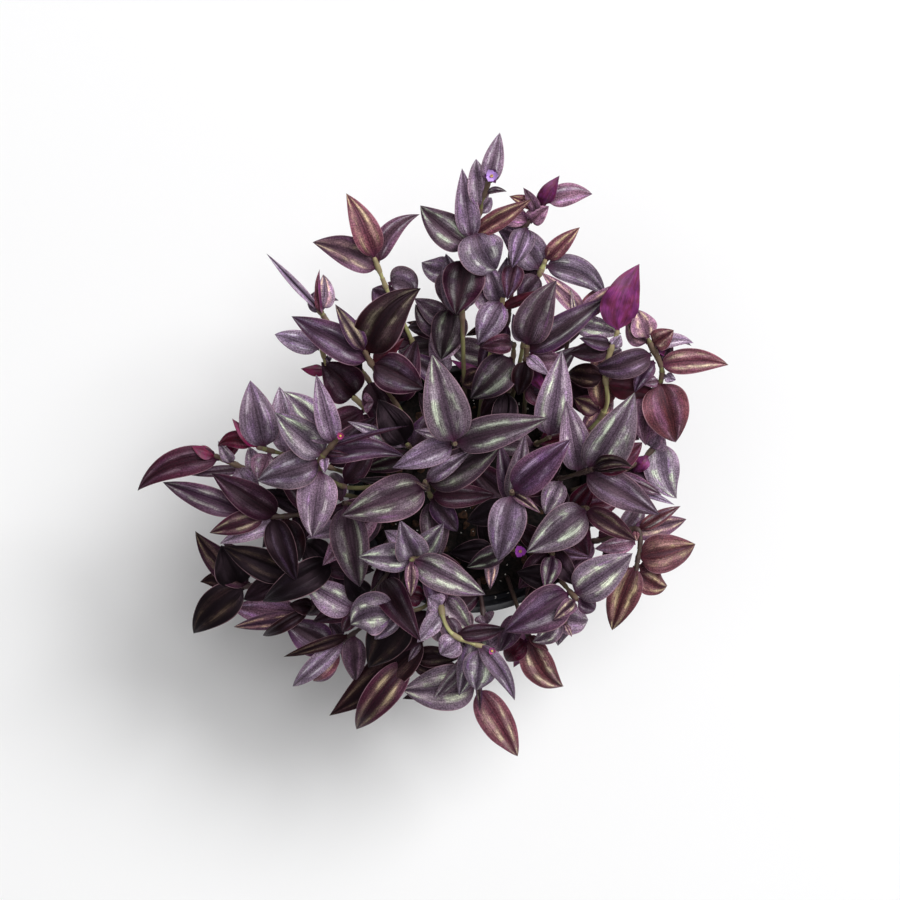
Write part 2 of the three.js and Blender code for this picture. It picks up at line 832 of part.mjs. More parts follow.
function makeLeaf(seat, tipX, tipY, tipHeight, width, roll = 0, fold = OPEN_FOLD, bow = 0) {
  const size = width < SMALL_WIDTH ? "small" : width < LARGE_WIDTH ? "middle" : "large";
  const leaf = { seat, width, roll: radians(roll), fold: radians(fold), bow, stations: STATIONS[size] };
  leaf.bent = (rise, extraArch) => {
    const tip = seen(tipX, tipY, tipHeight + rise);
    return { ...leaf, tip, arch: ARCH * tip.distanceTo(seat) + extraArch };
  };
  return leaf;
}

// A seeded draw between two limits
function makeDraw(seed) {
  let state = seed;
  return ([low, high]) => {
    state = (Math.imul(state, 1664525) + 1013904223) >>> 0;
    return low + ((high - low) * state) / 2 ** 32;
  };
}

// A lower leaf springs from the hidden stretch of its stem, one golden angle on from the lower leaf before it
function lowerLeaf(course, heading, draw) {
  const [hiddenStart, hiddenEnd] = [course.points[0], course.points.at(-1)].map((point) => lengthAt(course, point));
  const seat = pointAt(course, THREE.MathUtils.lerp(hiddenStart, hiddenEnd, LOWER_LEAF_PLACE));
  const length = draw(LOWER_LEAF_LENGTH);
  const drop = draw(LOWER_LEAF_DROP);
  const tip = new THREE.Vector3(length * Math.cos(heading), length * Math.sin(heading), -drop).add(seat);
  const leaf = { ...makeLeaf(seat, 0, 0, 0, LOWER_LEAF_SLENDERNESS * length), stations: STATIONS.small };
  leaf.bent = (rise, extraArch) => ({
    ...leaf,
    tip: tip.clone().setZ(tip.z + rise),
    arch: ARCH * length + extraArch,
  });
  return leaf;
}

// Flowers: three petals that open from a slim calyx, as one closed body of rings about an upright axis, from its
// top middle out to the petals' edge, round it and back down to the calyx's foot
function makeFlower({ x, y }, foot, petalLength) {
  const top = foot + CALYX_HEIGHT;
  const edge = (angle) => petalLength * (PETAL_NOTCH + (1 - PETAL_NOTCH) * Math.abs(Math.cos(1.5 * angle)));
  const throat = (angle) => 0.3 * petalLength + 0.2 * edge(angle);
  const calyx = () => CALYX_RADIUS;
  const rings = [
    [throat, top + PETAL_RISE / 4],
    [edge, top + PETAL_RISE],
    [edge, top + PETAL_RISE - BLADE_THICKNESS],
    [throat, top + PETAL_RISE / 4 - BLADE_THICKNESS],
    [calyx, top - BLADE_THICKNESS - GAP],
    [calyx, foot],
  ];
  const points = [new THREE.Vector3(x, y, top), new THREE.Vector3(x, y, foot)];
  for (const [radius, height] of rings) {
    for (let k = 0; k < FLOWER_SIDES; k++) {
      const angle = (2 * Math.PI * k) / FLOWER_SIDES;
      points.push(new THREE.Vector3(x + radius(angle) * Math.cos(angle), y + radius(angle) * Math.sin(angle), height));
    }
  }
  const at = (ring, k) => 2 + ring * FLOWER_SIDES + (k % FLOWER_SIDES);
  const faces = [];
  for (let k = 0; k < FLOWER_SIDES; k++) {
    faces.push(0, at(0, k), at(0, k + 1));
    faces.push(1, at(rings.length - 1, k + 1), at(rings.length - 1, k));
    for (let ring = 0; ring + 1 < rings.length; ring++) {
      const [a, b, c, d] = [at(ring, k), at(ring + 1, k), at(ring + 1, k + 1), at(ring, k + 1)];
      faces.push(...(ring === 0 ? [a, b, c, a, c, d] : [a, b, d, b, c, d]));
    }
  }
  const geometry = new THREE.BufferGeometry().setFromPoints(points);
  geometry.setIndex(faces);
  return solidOf(geometry);
}

// A flower stands on the tip of its stem: it is lifted until it clears the stem
function standFlower(stem, seat, petalLength) {
  let foot = seat.z;
  while (!makeFlower(seat, foot - GAP, petalLength).intersect(stem).isEmpty()) {
    foot += FLOWER_LIFT;
  }
  return makeFlower(seat, foot, petalLength);
}

// The largest body of a solid: joining thin blades can leave a loose scrap beside it
function withoutScraps(solid) {
  return solid.decompose().sort((one, other) => other.volume() - one.volume())[0];
}

// A solid that is in place, with its box
function inPlace(owner, solid, isLeaf = false) {
  const { min, max } = solid.boundingBox();
  return { owner, solid, isLeaf, box: new THREE.Box3(new THREE.Vector3(...min), new THREE.Vector3(...max)) };
}

function meets(candidate, others) {
  return others.some(
    (other) => candidate.box.intersectsBox(other.box) && !candidate.solid.intersect(other.solid).isEmpty(),
  );
}

const BENDS = RISE_BENDS.flatMap((rise) => ARCH_BENDS.map((arch) => [rise, arch])).sort(
  (one, other) => Math.abs(one[0]) + 1.5 * Math.abs(one[1]) - Math.abs(other[0]) - 1.5 * Math.abs(other[1]),
);

// Bends a leaf clear of what is already in place. It may cross a leaf of its own shoot only where no bend clears it.
function placeLeaf(owner, leaf, placed) {
  const strangers = placed.filter((other) => other.owner !== owner);
  const sisters = placed.filter((other) => other.owner === owner && other.isLeaf);
  let crossing = null;
  for (const [rise, arch] of BENDS) {
    const bent = leaf.bent(rise, arch);
    const fat = inPlace(owner, bladeSolid(bent, BLADE_THICKNESS + 2 * GAP, GAP));
    if (meets(fat, strangers)) {
      continue;
    }
    const outer = inPlace(owner, bladeSolid(bent, BLADE_THICKNESS + GAP, GAP, CROSSING_START));
    if (!meets(outer, sisters)) {
      return bent;
    }
    crossing = crossing ?? bent;
  }
  return crossing;
}

const courses = {};
for (const [name, { stem }] of Object.entries(SHOOTS)) {
  courses[name] = new Course(stem);
}
const roots = Object.values(courses).map((course) => course.bends[0]);
const solids = { pot: makePot(), soil: makeSoil(roots) };
const placed = Object.entries(solids).map(([name, solid]) => inPlace(name, solid));
for (const [name, course] of Object.entries(courses)) {
  solids[name] = makeStem(course);
  placed.push(inPlace(name, solids[name]));
}
for (const [name, shoot, petalLength] of FLOWERS) {
  solids[name] = standFlower(solids[shoot], courses[shoot].bends.at(-1), petalLength);
  placed.push(inPlace(name, solids[name]));
}

function growLeaf(name, leaf) {
  const bent = placeLeaf(name, leaf, placed);
  if (bent) {
    const solid = bladeSolid(bent);
    solids[name] = solids[name].add(solid);
    placed.push(inPlace(name, solid, true));
  }
}

for (const [name, { leaves }] of Object.entries(SHOOTS)) {
  const course = courses[name];
  const taken = {};
  for (const [point, tipX, tipY, rise, ...shape] of leaves) {
    taken[point] = (taken[point] ?? -1) + 1;
    const node = course.points[point];
    const seat = pointAt(course, lengthAt(course, node) - SEAT_DEPTH - NODE_SPACING * taken[point]);
    growLeaf(name, makeLeaf(seat, tipX, tipY, node.z + rise, ...shape));
  }
}
const draw = makeDraw(SEED);
Object.entries(courses).forEach(([name, course], k) => {
  if (course.points[0].distanceTo(course.points.at(-1)) > LOWER_LEAF_STEM) {
    growLeaf(name, lowerLeaf(course, k * GOLDEN_ANGLE, draw));
  }
});

const MATERIALS = {
  pot: { color: "#33373d", roughness: 0.5, metalness: 0 },
  soil: { color: "#1c1613", roughness: 0.95, metalness: 0 },
  flower: { color: "#b06ac8", roughness: 0.6, metalness: 0 },
  shoot: { color: "#5a4659", roughness: 0.5, metalness: 0 },
};

const plant = new THREE.Group();
plant.name = "potted_tradescantia";
for (const [name, solid] of Object.entries(solids)) {
  const kind = name.split("_")[0];
  const material = new THREE.MeshStandardMaterial(MATERIALS[kind] ?? MATERIALS.shoot);
  const mesh = new THREE.Mesh(geometryOf(withoutScraps(solid)), material);
  mesh.name = kind in MATERIALS ? name : `shoot_${name}`;
  plant.add(mesh);
}

export default plant;
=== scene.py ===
"""A potted tradescantia in its nursery pot: fine leaves, stems, flowers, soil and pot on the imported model."""

import json
import math

import bpy
import numpy as np
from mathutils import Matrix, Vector
from mathutils.bvhtree import BVHTree
from mathutils.kdtree import KDTree

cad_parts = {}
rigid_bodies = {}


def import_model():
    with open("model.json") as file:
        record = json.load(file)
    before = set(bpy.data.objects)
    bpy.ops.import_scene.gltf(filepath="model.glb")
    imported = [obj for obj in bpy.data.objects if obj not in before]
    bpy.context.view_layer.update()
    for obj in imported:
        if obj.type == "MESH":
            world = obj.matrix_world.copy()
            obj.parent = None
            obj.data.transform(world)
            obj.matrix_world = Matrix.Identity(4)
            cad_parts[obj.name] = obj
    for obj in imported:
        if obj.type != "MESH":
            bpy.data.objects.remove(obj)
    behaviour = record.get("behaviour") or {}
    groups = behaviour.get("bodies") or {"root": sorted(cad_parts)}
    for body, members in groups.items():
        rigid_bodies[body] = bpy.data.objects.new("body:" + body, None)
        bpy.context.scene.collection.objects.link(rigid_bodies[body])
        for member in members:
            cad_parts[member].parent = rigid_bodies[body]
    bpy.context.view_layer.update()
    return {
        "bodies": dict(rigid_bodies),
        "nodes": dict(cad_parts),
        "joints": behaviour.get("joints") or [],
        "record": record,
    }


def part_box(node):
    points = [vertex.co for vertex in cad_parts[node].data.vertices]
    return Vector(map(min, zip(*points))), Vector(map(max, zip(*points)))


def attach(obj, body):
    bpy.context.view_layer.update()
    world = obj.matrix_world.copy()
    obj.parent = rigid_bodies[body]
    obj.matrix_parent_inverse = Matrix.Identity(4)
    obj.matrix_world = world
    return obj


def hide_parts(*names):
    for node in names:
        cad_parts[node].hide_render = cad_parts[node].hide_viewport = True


# Sizes are in millimetres until a mesh is made, and then in metres.
MM = 0.001
UP = np.array([0, 0, 1.0])
SEED = 41

# Where the photograph's eye stands, and its focal length, centre and width in pixels
EYE = (-13.55, 23.2, 1300.0)
FOCAL_PIXELS = 1942.0
CENTRE_PIXEL = 450.0
PHOTO_PIXELS = 900.0

# Each shoot has the points of its stem, as [pixel x, pixel y, height], and its leaves, as [look, stem point,
# tip pixel x, tip pixel y, rise of the tip, width, roll, fold, bow]. The first stem point lies at the soil's level
# and has no height, and a leaf can leave out its last numbers.
SHOOTS = {
    "centre_north": (
        [[449, 430], [452, 439, 188], [455, 444, 222]],
        [["silver", 2, 432, 354, 6, 26.5], ["grey+silver", 2, 549, 418, 2, 20.5], ["lilac", 2, 392, 468, -4, 16],
         ["lilac+grey", 1, 414, 430, 4, 8], ["dark", 1, 494, 462, -12, 16], ["black", 1, 418, 392, -14, 14]],
    ),
    "centre_east": (
        [[514, 512], [513, 502, 185], [512, 491, 218]],
        [["violet", 2, 571, 439, 6, 21], ["lilac", 2, 498, 562, -12, 22], ["cream", 2, 541, 513, 0, 8, 20, 40],
         ["silver+grey", 1, 525, 433, 16, 15], ["violet+grey", 1, 499, 441, 8, 13],
         ["ink+dark", 1, 466, 522, -18, 16]],
    ),
    "centre_west": (
        [[436, 505], [430, 495, 178], [425, 481, 208]],
        [["lilac", 2, 473, 449, 6, 10], ["sage+silver", 2, 504, 441, -3, 19.5],
         ["grey+silver", 2, 341, 516, -8, 26.5], ["ink+silver", 2, 355, 479, -4, 8],
         ["plum+cream", 2, 413, 480, 7, 3], ["plum+dark", 1, 497, 495, -6, 15],
         ["olive+dark", 1, 458, 532, -14, 14]],
    ),
    "west_star": (
        [[392, 478], [352, 489, 160], [318, 468, 190], [326, 455, 197], [334, 441, 203], [340, 436, 207]],
        [["mauve+pale", 4, 316, 374, 10, 17], ["olive+violet", 4, 409, 425, 6, 9, 35, 62],
         ["plum+lilac", 4, 350, 455, 6, 4], ["lilac+silver", 4, 274, 412, -3, 21],
         ["pale+violet", 3, 325, 473, 5, 7, 0, 35], ["silver+lilac", 3, 257, 481, -8, 23],
         ["violet+lilac", 4, 406, 457, -8, 14], ["mauve+pale", 2, 312, 538, -10, 24]],
    ),
    "east_centre": (
        [[546, 482], [561, 478, 168], [580, 474, 188], [593, 469, 198]],
        [["umber+cream", 3, 632, 469, 6, 7, 0, 62], ["silver", 3, 635, 392, 8, 24],
         ["grey+lilac", 3, 660, 515, -12, 20.5], ["mauve+pale", 2, 566, 400, 8, 19.5],
         ["pale+grey", 1, 545, 515, -8, 15], ["black", 1, 532, 452, -8, 15]],
    ),
    "centre_south_west": (
        [[430, 548], [419, 556, 168], [411, 560, 190]],
        [["cream", 2, 411, 597, -2, 9, 0, 30], ["silver", 2, 486, 595, -6, 20.5],
         ["lilac+silver", 2, 358, 557, -4, 18], ["lilac", 2, 400, 520, 14, 20],
         ["lilac+silver", 1, 444, 523, 10, 15], ["dark", 1, 362, 551, -2, 14], ["pale+dark", 1, 384, 530, -10, 14]],
    ),
    "north_flowering": (
        [[466, 414], [463, 345, 165], [465, 262, 190], [476, 226, 200], [480, 208, 206], [485, 192, 212],
         [488, 184, 216], [490, 177, 219]],
        [["lilac+grey", 3, 498, 269, -12, 20.5], ["mauve+lilac", 6, 500, 132, 3, 12.5],
         ["grey", 5, 507, 191, 2, 7, 30, 65], ["bronze", 3, 532, 199, 3, 8],
         ["mauve+lilac", 3, 462, 168, 10, 14.7], ["grey+sage", 3, 420, 205, -2, 21, 0, 13, -4],
         ["pale+lilac", 4, 476, 158, -2, 12.5], ["lilac", 4, 492, 197, -6, 8]],
    ),
    "north_east": (
        [[486, 410], [505, 336, 158], [514, 276, 178], [521, 226, 188], [528, 220, 191], [540, 204, 195],
         [546, 201, 197]],
        [["blush+plum", 4, 549, 206, 5, 12.5, 0, 30], ["blush+lilac", 6, 593, 194, -5, 13.5, 0, 13, -2],
         ["plum+maroon", 6, 559, 176, 4, 11, 155], ["rose+bronze", 5, 509, 196, 2, 8],
         ["cream+plum", 5, 523, 187, 4, 7], ["lilac", 3, 498, 219, -4, 7]],
    ),
    "north_east_low": (
        [[508, 414], [522, 352, 150], [531, 298, 165], [536, 283, 168], [541, 270, 172], [546, 259, 176]],
        [["rose+bronze", 5, 580, 227, 6, 11.5], ["lilac+grey", 5, 606, 298, -12, 17, 0, 13, -5.5],
         ["lilac", 5, 496, 228, -2, 20, 0, 13, -2.5], ["dark", 3, 508, 250, -4, 16],
         ["grey+dark", 4, 518, 302, -8, 14]],
    ),
    "north_west": (
        [[436, 414], [415, 348, 150], [396, 308, 165], [383, 284, 172], [379, 272, 175], [374, 257, 179]],
        [["rose+bronze", 5, 346, 193, 6, 16.5], ["cream+lilac", 5, 420, 214, 2, 13, 0, 13, -3],
         ["cream+rose", 5, 312, 242, -6, 19], ["silver+lilac", 3, 416, 296, -4, 15, 0, 13, -7]],
    ),
    "north_west_far": (
        [[404, 432], [372, 385, 148], [342, 343, 160], [318, 308, 166]],
        [["pale+lilac", 3, 266, 253, 4, 10, 0, 60], ["rose+maroon", 3, 319, 269, 6, 9, 40, 62],
         ["lilac", 3, 339, 300, -4, 13, 0, 13, -9]],
    ),
    "north_west_near": (
        [[418, 446], [395, 400, 155], [367, 364, 176], [364, 350, 181]],
        [["olive+cream", 3, 335, 304, 6, 11.5], ["umber+cream", 3, 421, 288, 4, 23, 0, 13, -3],
         ["violet+lilac", 3, 291, 316, -5, 20.5], ["umber", 3, 404, 338, -3, 11, 155],
         ["dark+lilac", 2, 424, 389, -8, 24]],
    ),
    "west_upper": (
        [[398, 458], [378, 424, 142], [354, 397, 152], [323, 369, 158], [317, 355, 161], [321, 347, 163]],
        [["pale+lilac", 5, 274, 334, -8, 14], ["dark", 2, 321, 362, 8, 23], ["wine", 3, 301, 369, 2, 9, 150],
         ["lilac", 4, 331, 361, -1, 5], ["blush+dark", 2, 374, 402, 0, 12], ["dark", 1, 350, 430, 0, 17]],
    ),
    "upper_middle": (
        [[452, 412], [446, 374, 138], [451, 322, 158], [459, 276, 172], [461, 264, 175]],
        [["grey+dark", 4, 454, 315, -3, 25], ["mauve+grey", 4, 421, 262, -4, 17, 0, 13, -2.5],
         ["pale+dark", 2, 441, 362, -3, 20], ["grey", 2, 415, 304, 2, 17, 0, 13, -3],
         ["pale+dark", 1, 430, 330, 10, 13], ["olive+grey", 1, 398, 350, 6, 15]],
    ),
    "upper_middle_east": (
        [[478, 424], [486, 372, 148], [498, 320, 168], [503, 297, 178]],
        [["mauve+lilac", 3, 478, 344, -10, 18.5], ["lilac", 3, 486, 262, 3, 15], ["umber", 3, 544, 290, 0, 8, 145],
         ["umber", 2, 465, 336, -6, 6], ["pale+grey", 3, 470, 272, 0, 16], ["maroon", 1, 450, 360, 2, 7, 150]],
    ),
    "north_middle": (
        [[500, 428], [508, 388, 148], [516, 354, 164], [514, 343, 169]],
        [["dark", 3, 478, 345, -2, 11.5], ["sage+silver", 2, 470, 399, -6, 21],
         ["umber+black", 1, 480, 420, -4, 15]],
    ),
    "north_east_middle": (
        [[522, 428], [526, 382, 155], [525, 357, 172], [527, 345, 178]],
        [["grey", 3, 557, 280, 8, 20], ["olive+grey", 3, 608, 297, -2, 17], ["pale+lilac", 3, 550, 376, 4, 8],
         ["maroon", 3, 576, 332, -7, 9, 150], ["umber+dark", 2, 518, 396, -10, 13],
         ["cream+black", 2, 566, 360, -6, 13], ["maroon", 2, 544, 392, -12, 9, 155],
         ["plum+black", 1, 545, 405, -6, 13]],
    ),
    "north_east_centre": (
        [[526, 450], [538, 443, 158], [550, 437, 182]],
        [["mauve+silver", 2, 562, 350, 12, 22], ["maroon+grey", 1, 592, 430, 2, 14],
         ["black", 1, 520, 470, -4, 14]],
    ),
    "far_north_east": (
        [[542, 436], [557, 385, 148], [570, 338, 162], [575, 322, 166], [575, 304, 171], [599, 297, 173]],
        [["blush+rose", 4, 541, 272, 6, 11.5], ["blush+bronze", 4, 622, 282, 4, 11.5],
         ["pale+cream", 4, 571, 288, 5, 4], ["silver", 5, 632, 284, -2, 7], ["pale+silver", 3, 622, 334, 4, 12.5]],
    ),
    "north_east_stem": (
        [[558, 450], [585, 434, 143], [605, 412, 158], [606, 376, 172], [606, 348, 180], [618, 330, 184]],
        [["maroon", 5, 639, 264, 4, 21, 160], ["dark", 4, 568, 353, -4, 13], ["grey", 4, 622, 349, -2, 9],
         ["umber", 3, 566, 374, -14, 15], ["plum+bronze", 2, 574, 398, -4, 13],
         ["umber", 3, 656, 396, -12, 19, 150], ["plum", 2, 640, 440, -8, 15], ["blush+umber", 1, 614, 398, -6, 15]],
    ),
    "east_upper": (
        [[568, 464], [612, 436, 146], [645, 404, 155], [661, 379, 166], [662, 362, 172], [650, 352, 176],
         [648, 338, 180]],
        [["blush+rose", 6, 637, 309, 3, 16], ["bronze+cream", 6, 674, 330, 3, 9],
         ["lilac", 6, 692, 346, -3, 6, 0, 13, -5], ["maroon", 6, 665, 344, -4, 11, 155],
         ["grey+violet", 5, 593, 368, -4, 16, 0, 13, -3], ["rose+cream", 4, 729, 365, -6, 15.5],
         ["dark", 4, 672, 341, -2, 8], ["pale+lilac", 4, 676, 380, -2, 6], ["cream+lilac", 4, 641, 384, -2, 7],
         ["bronze+plum", 3, 676, 443, -12, 29], ["blush+plum", 3, 646, 446, -10, 18],
         ["umber", 2, 620, 375, -4, 14, 150]],
    ),
    "east_lower": (
        [[571, 490], [618, 474, 141], [652, 452, 142], [664, 438, 141]],
        [["pale+silver", 3, 677, 499, -14, 24, 0, 13, 4.5], ["maroon", 2, 633, 472, -4, 10, 155],
         ["cream+grey", 1, 662, 495, 2, 10], ["pale+lilac", 1, 675, 505, -4, 7]],
    ),
    "east_middle": (
        [[560, 512], [575, 509, 163], [588, 508, 178]],
        [["silver", 2, 526, 553, -2, 25], ["plum+rose", 2, 637, 541, -9, 13.5],
         ["maroon", 2, 614, 530, -10, 7, 150, 50], ["maroon+lilac", 1, 622, 500, -6, 15],
         ["maroon+dark", 1, 596, 478, 4, 13], ["dark", 1, 612, 522, -14, 13], ["plum+black", 1, 588, 560, -16, 15]],
    ),
    "east_far": (
        [[560, 532], [600, 541, 146], [626, 538, 150], [638, 530, 156], [633, 545, 159], [636, 560, 158],
         [636, 573, 155]],
        [["rose", 3, 637, 541, 6, 3.5], ["cream+rose", 3, 687, 519, -4, 15], ["bronze", 5, 696, 544, -6, 22],
         ["bronze", 6, 668, 586, -8, 11.5, 0, 13, 2], ["bronze", 6, 612, 631, -12, 20, 0, 13, 1.5],
         ["grey", 2, 644, 500, -4, 14], ["blush+lilac", 4, 594, 549, -6, 10.5]],
    ),
    "south_east": (
        [[540, 556], [562, 582, 156], [577, 600, 170]],
        [["cream", 2, 553, 620, 3, 9, 0, 40], ["lilac+silver", 2, 633, 553, 0, 25],
         ["violet+lilac", 2, 504, 632, -6, 26.5], ["ink+dark", 1, 516, 572, -8, 16]],
    ),
    "south_east_low": (
        [[524, 571], [548, 606, 146], [566, 624, 145]],
        [["blush+cream", 2, 572, 637, 2, 3.5], ["silver", 2, 532, 642, -3, 11.5],
         ["mauve+grey", 2, 589, 620, -8, 14]],
    ),
    "south_low": (
        [[507, 577], [520, 614, 144], [529, 639, 126]],
        [["bronze+cream", 2, 564, 687, -14, 19.5, 0, 13, 2.5], ["bronze+maroon", 2, 549, 651, 3, 6],
         ["maroon", 2, 514, 667, -14, 14, 155], ["violet+dark", 1, 500, 652, -10, 14]],
    ),
    "south_stem": (
        [[455, 574], [441, 597, 150], [434, 619, 157], [458, 636, 159], [484, 648, 155], [491, 650, 154]],
        [["silver", 1, 472, 633, 2, 17], ["grey+lilac", 2, 461, 650, -6, 13], ["pale+lilac", 1, 425, 622, 3, 9],
         ["pale+lilac", 2, 417, 643, -3, 12], ["lilac+silver", 4, 476, 691, -8, 17],
         ["lilac", 4, 515, 701, -8, 11.5], ["dark", 3, 506, 628, -10, 11]],
    ),
    "south_far": (
        [[478, 580], [483, 612, 138], [481, 650, 134], [477, 690, 126]],
        [["rose+cream", 3, 518, 757, -16, 19.5, 0, 13, -2.5], ["lilac+silver", 3, 402, 690, -6, 29, 0, 13, -1],
         ["olive", 3, 480, 711, 2, 4], ["grey+dark", 1, 488, 624, 2, 13], ["silver+grey", 2, 430, 704, -14, 12],
         ["dark", 2, 436, 654, 4, 14]],
    ),
    "south_west_far": (
        [[438, 578], [434, 614, 141], [420, 642, 129], [409, 663, 121]],
        [["plum+bronze", 3, 356, 730, -14, 21, 0, 13, 2], ["umber+cream", 3, 461, 658, 4, 8],
         ["maroon", 3, 458, 666, 0, 7], ["silver+lilac", 2, 408, 662, 6, 5], ["umber", 2, 329, 716, -20, 25],
         ["black", 1, 376, 655, -6, 20, 155]],
    ),
    "south_west_stem": (
        [[424, 574], [429, 600, 144], [418, 615, 152], [395, 615, 157]],
        [["lilac+silver", 3, 350, 625, -10, 23, 0, 13, -9], ["lilac", 3, 374, 640, -8, 11],
         ["maroon+dark", 1, 398, 592, 0, 13]],
    ),
    "south_west": (
        [[400, 550], [380, 584, 142], [354, 612, 147]],
        [["mauve+silver", 2, 304, 581, -3, 21], ["plum+dark", 2, 342, 633, -8, 10], ["dark", 2, 312, 622, -10, 15]],
    ),
    "south_west_low": (
        [[410, 564], [386, 607, 141], [352, 634, 130], [331, 648, 123]],
        [["olive+lilac", 3, 284, 621, 2, 23], ["rose", 3, 313, 682, -10, 11.5],
         ["cream", 3, 354, 681, -6, 7, 0, 40], ["mauve+lilac", 3, 292, 687, -12, 12.5],
         ["umber", 3, 283, 657, -8, 8], ["grey+plum", 2, 356, 681, -12, 15]],
    ),
    "west_low": (
        [[390, 538], [352, 584, 141], [318, 598, 126], [301, 616, 123]],
        [["blush+violet", 3, 229, 607, -2, 20], ["plum", 3, 236, 628, -12, 10], ["umber+dark", 3, 262, 636, -8, 9]],
    ),
    "west_lower_far": (
        [[382, 526], [332, 564, 145], [290, 576, 140], [256, 586, 134], [238, 588, 131]],
        [["ink+umber", 2, 222, 546, 4, 20], ["ink+black", 4, 221, 545, 5, 23], ["ink+umber", 4, 193, 634, -12, 22],
         ["dark+bronze", 4, 195, 531, -4, 13], ["ink+dark", 1, 262, 602, -6, 20], ["dark", 1, 338, 598, -8, 13]],
    ),
    "west_middle": (
        [[377, 513], [325, 512, 152], [281, 516, 161], [263, 518, 165], [240, 512, 164]],
        [["plum+cream", 3, 209, 533, -3, 14], ["black+violet", 3, 297, 582, -12, 17.5],
         ["dark+plum", 3, 211, 473, 4, 20], ["violet+grey", 4, 162, 482, -8, 14, 0, 13, 2.5],
         ["umber+dark", 2, 300, 562, -16, 18], ["dark", 2, 262, 548, -10, 14],
         ["pale+lilac", 3, 219, 544, -12, 12], ["ink+dark", 1, 258, 490, -6, 16]],
    ),
    "west_far": (
        [[374, 500], [334, 494, 146], [297, 494, 150], [265, 480, 157], [235, 460, 162], [214, 455, 165]],
        [["wine", 5, 192, 447, 4, 9, 155], ["plum", 5, 137, 491, -6, 18, 0, 13, 4.5],
         ["wine", 5, 246, 424, 3, 9, 140], ["pale+grey", 5, 218, 441, 5, 8], ["olive", 5, 237, 477, -5, 8],
         ["grey", 5, 184, 474, -10, 7], ["pale+dark", 4, 258, 500, -10, 15], ["dark", 3, 290, 452, 0, 13]],
    ),
    "west_upper_middle": (
        [[376, 484], [332, 468, 156], [290, 456, 170], [257, 447, 178]],
        [["wine", 3, 232, 419, 5, 8.5, 150], ["lilac", 3, 250, 380, 3, 21], ["blush+grey", 3, 259, 481, -8, 17],
         ["pale+lilac", 2, 279, 386, -4, 20]],
    ),
    "west_centre": (
        [[398, 518], [371, 506, 154], [343, 503, 168]],
        [["grey+silver", 2, 360, 588, -14, 23], ["grey+dark", 1, 366, 545, -6, 14],
         ["blush+dark", 1, 322, 566, -18, 19], ["pale+dark", 1, 306, 538, -4, 17]],
    ),
    "centre_north_west": (
        [[420, 466], [414, 452, 150], [407, 444, 168]],
        [["ink+black", 2, 378, 399, 2, 21], ["pale+silver", 2, 347, 421, -4, 9],
         ["olive+dark", 1, 432, 410, 4, 18], ["dark+sage", 1, 362, 470, -6, 13]],
    ),
    "centre_south": (
        [[490, 548], [497, 540, 136], [507, 556, 150], [519, 551, 158]],
        [["sage", 2, 466, 568, -4, 13], ["ink+dark", 1, 449, 553, -4, 15], ["pale+umber", 1, 490, 590, -6, 9],
         ["ink+black", 1, 480, 500, 4, 13]],
    ),
    "centre_south_east": (
        [[538, 542], [545, 549, 146], [553, 554, 155]],
        [["cream", 2, 541, 590, -4, 10, 0, 35], ["dark+plum", 2, 518, 589, -8, 16],
         ["black+plum", 2, 579, 587, -10, 15], ["cream+violet", 2, 593, 558, -5, 8], ["umber", 1, 524, 604, -8, 8],
         ["umber+black", 1, 510, 520, 6, 14]],
    ),
}

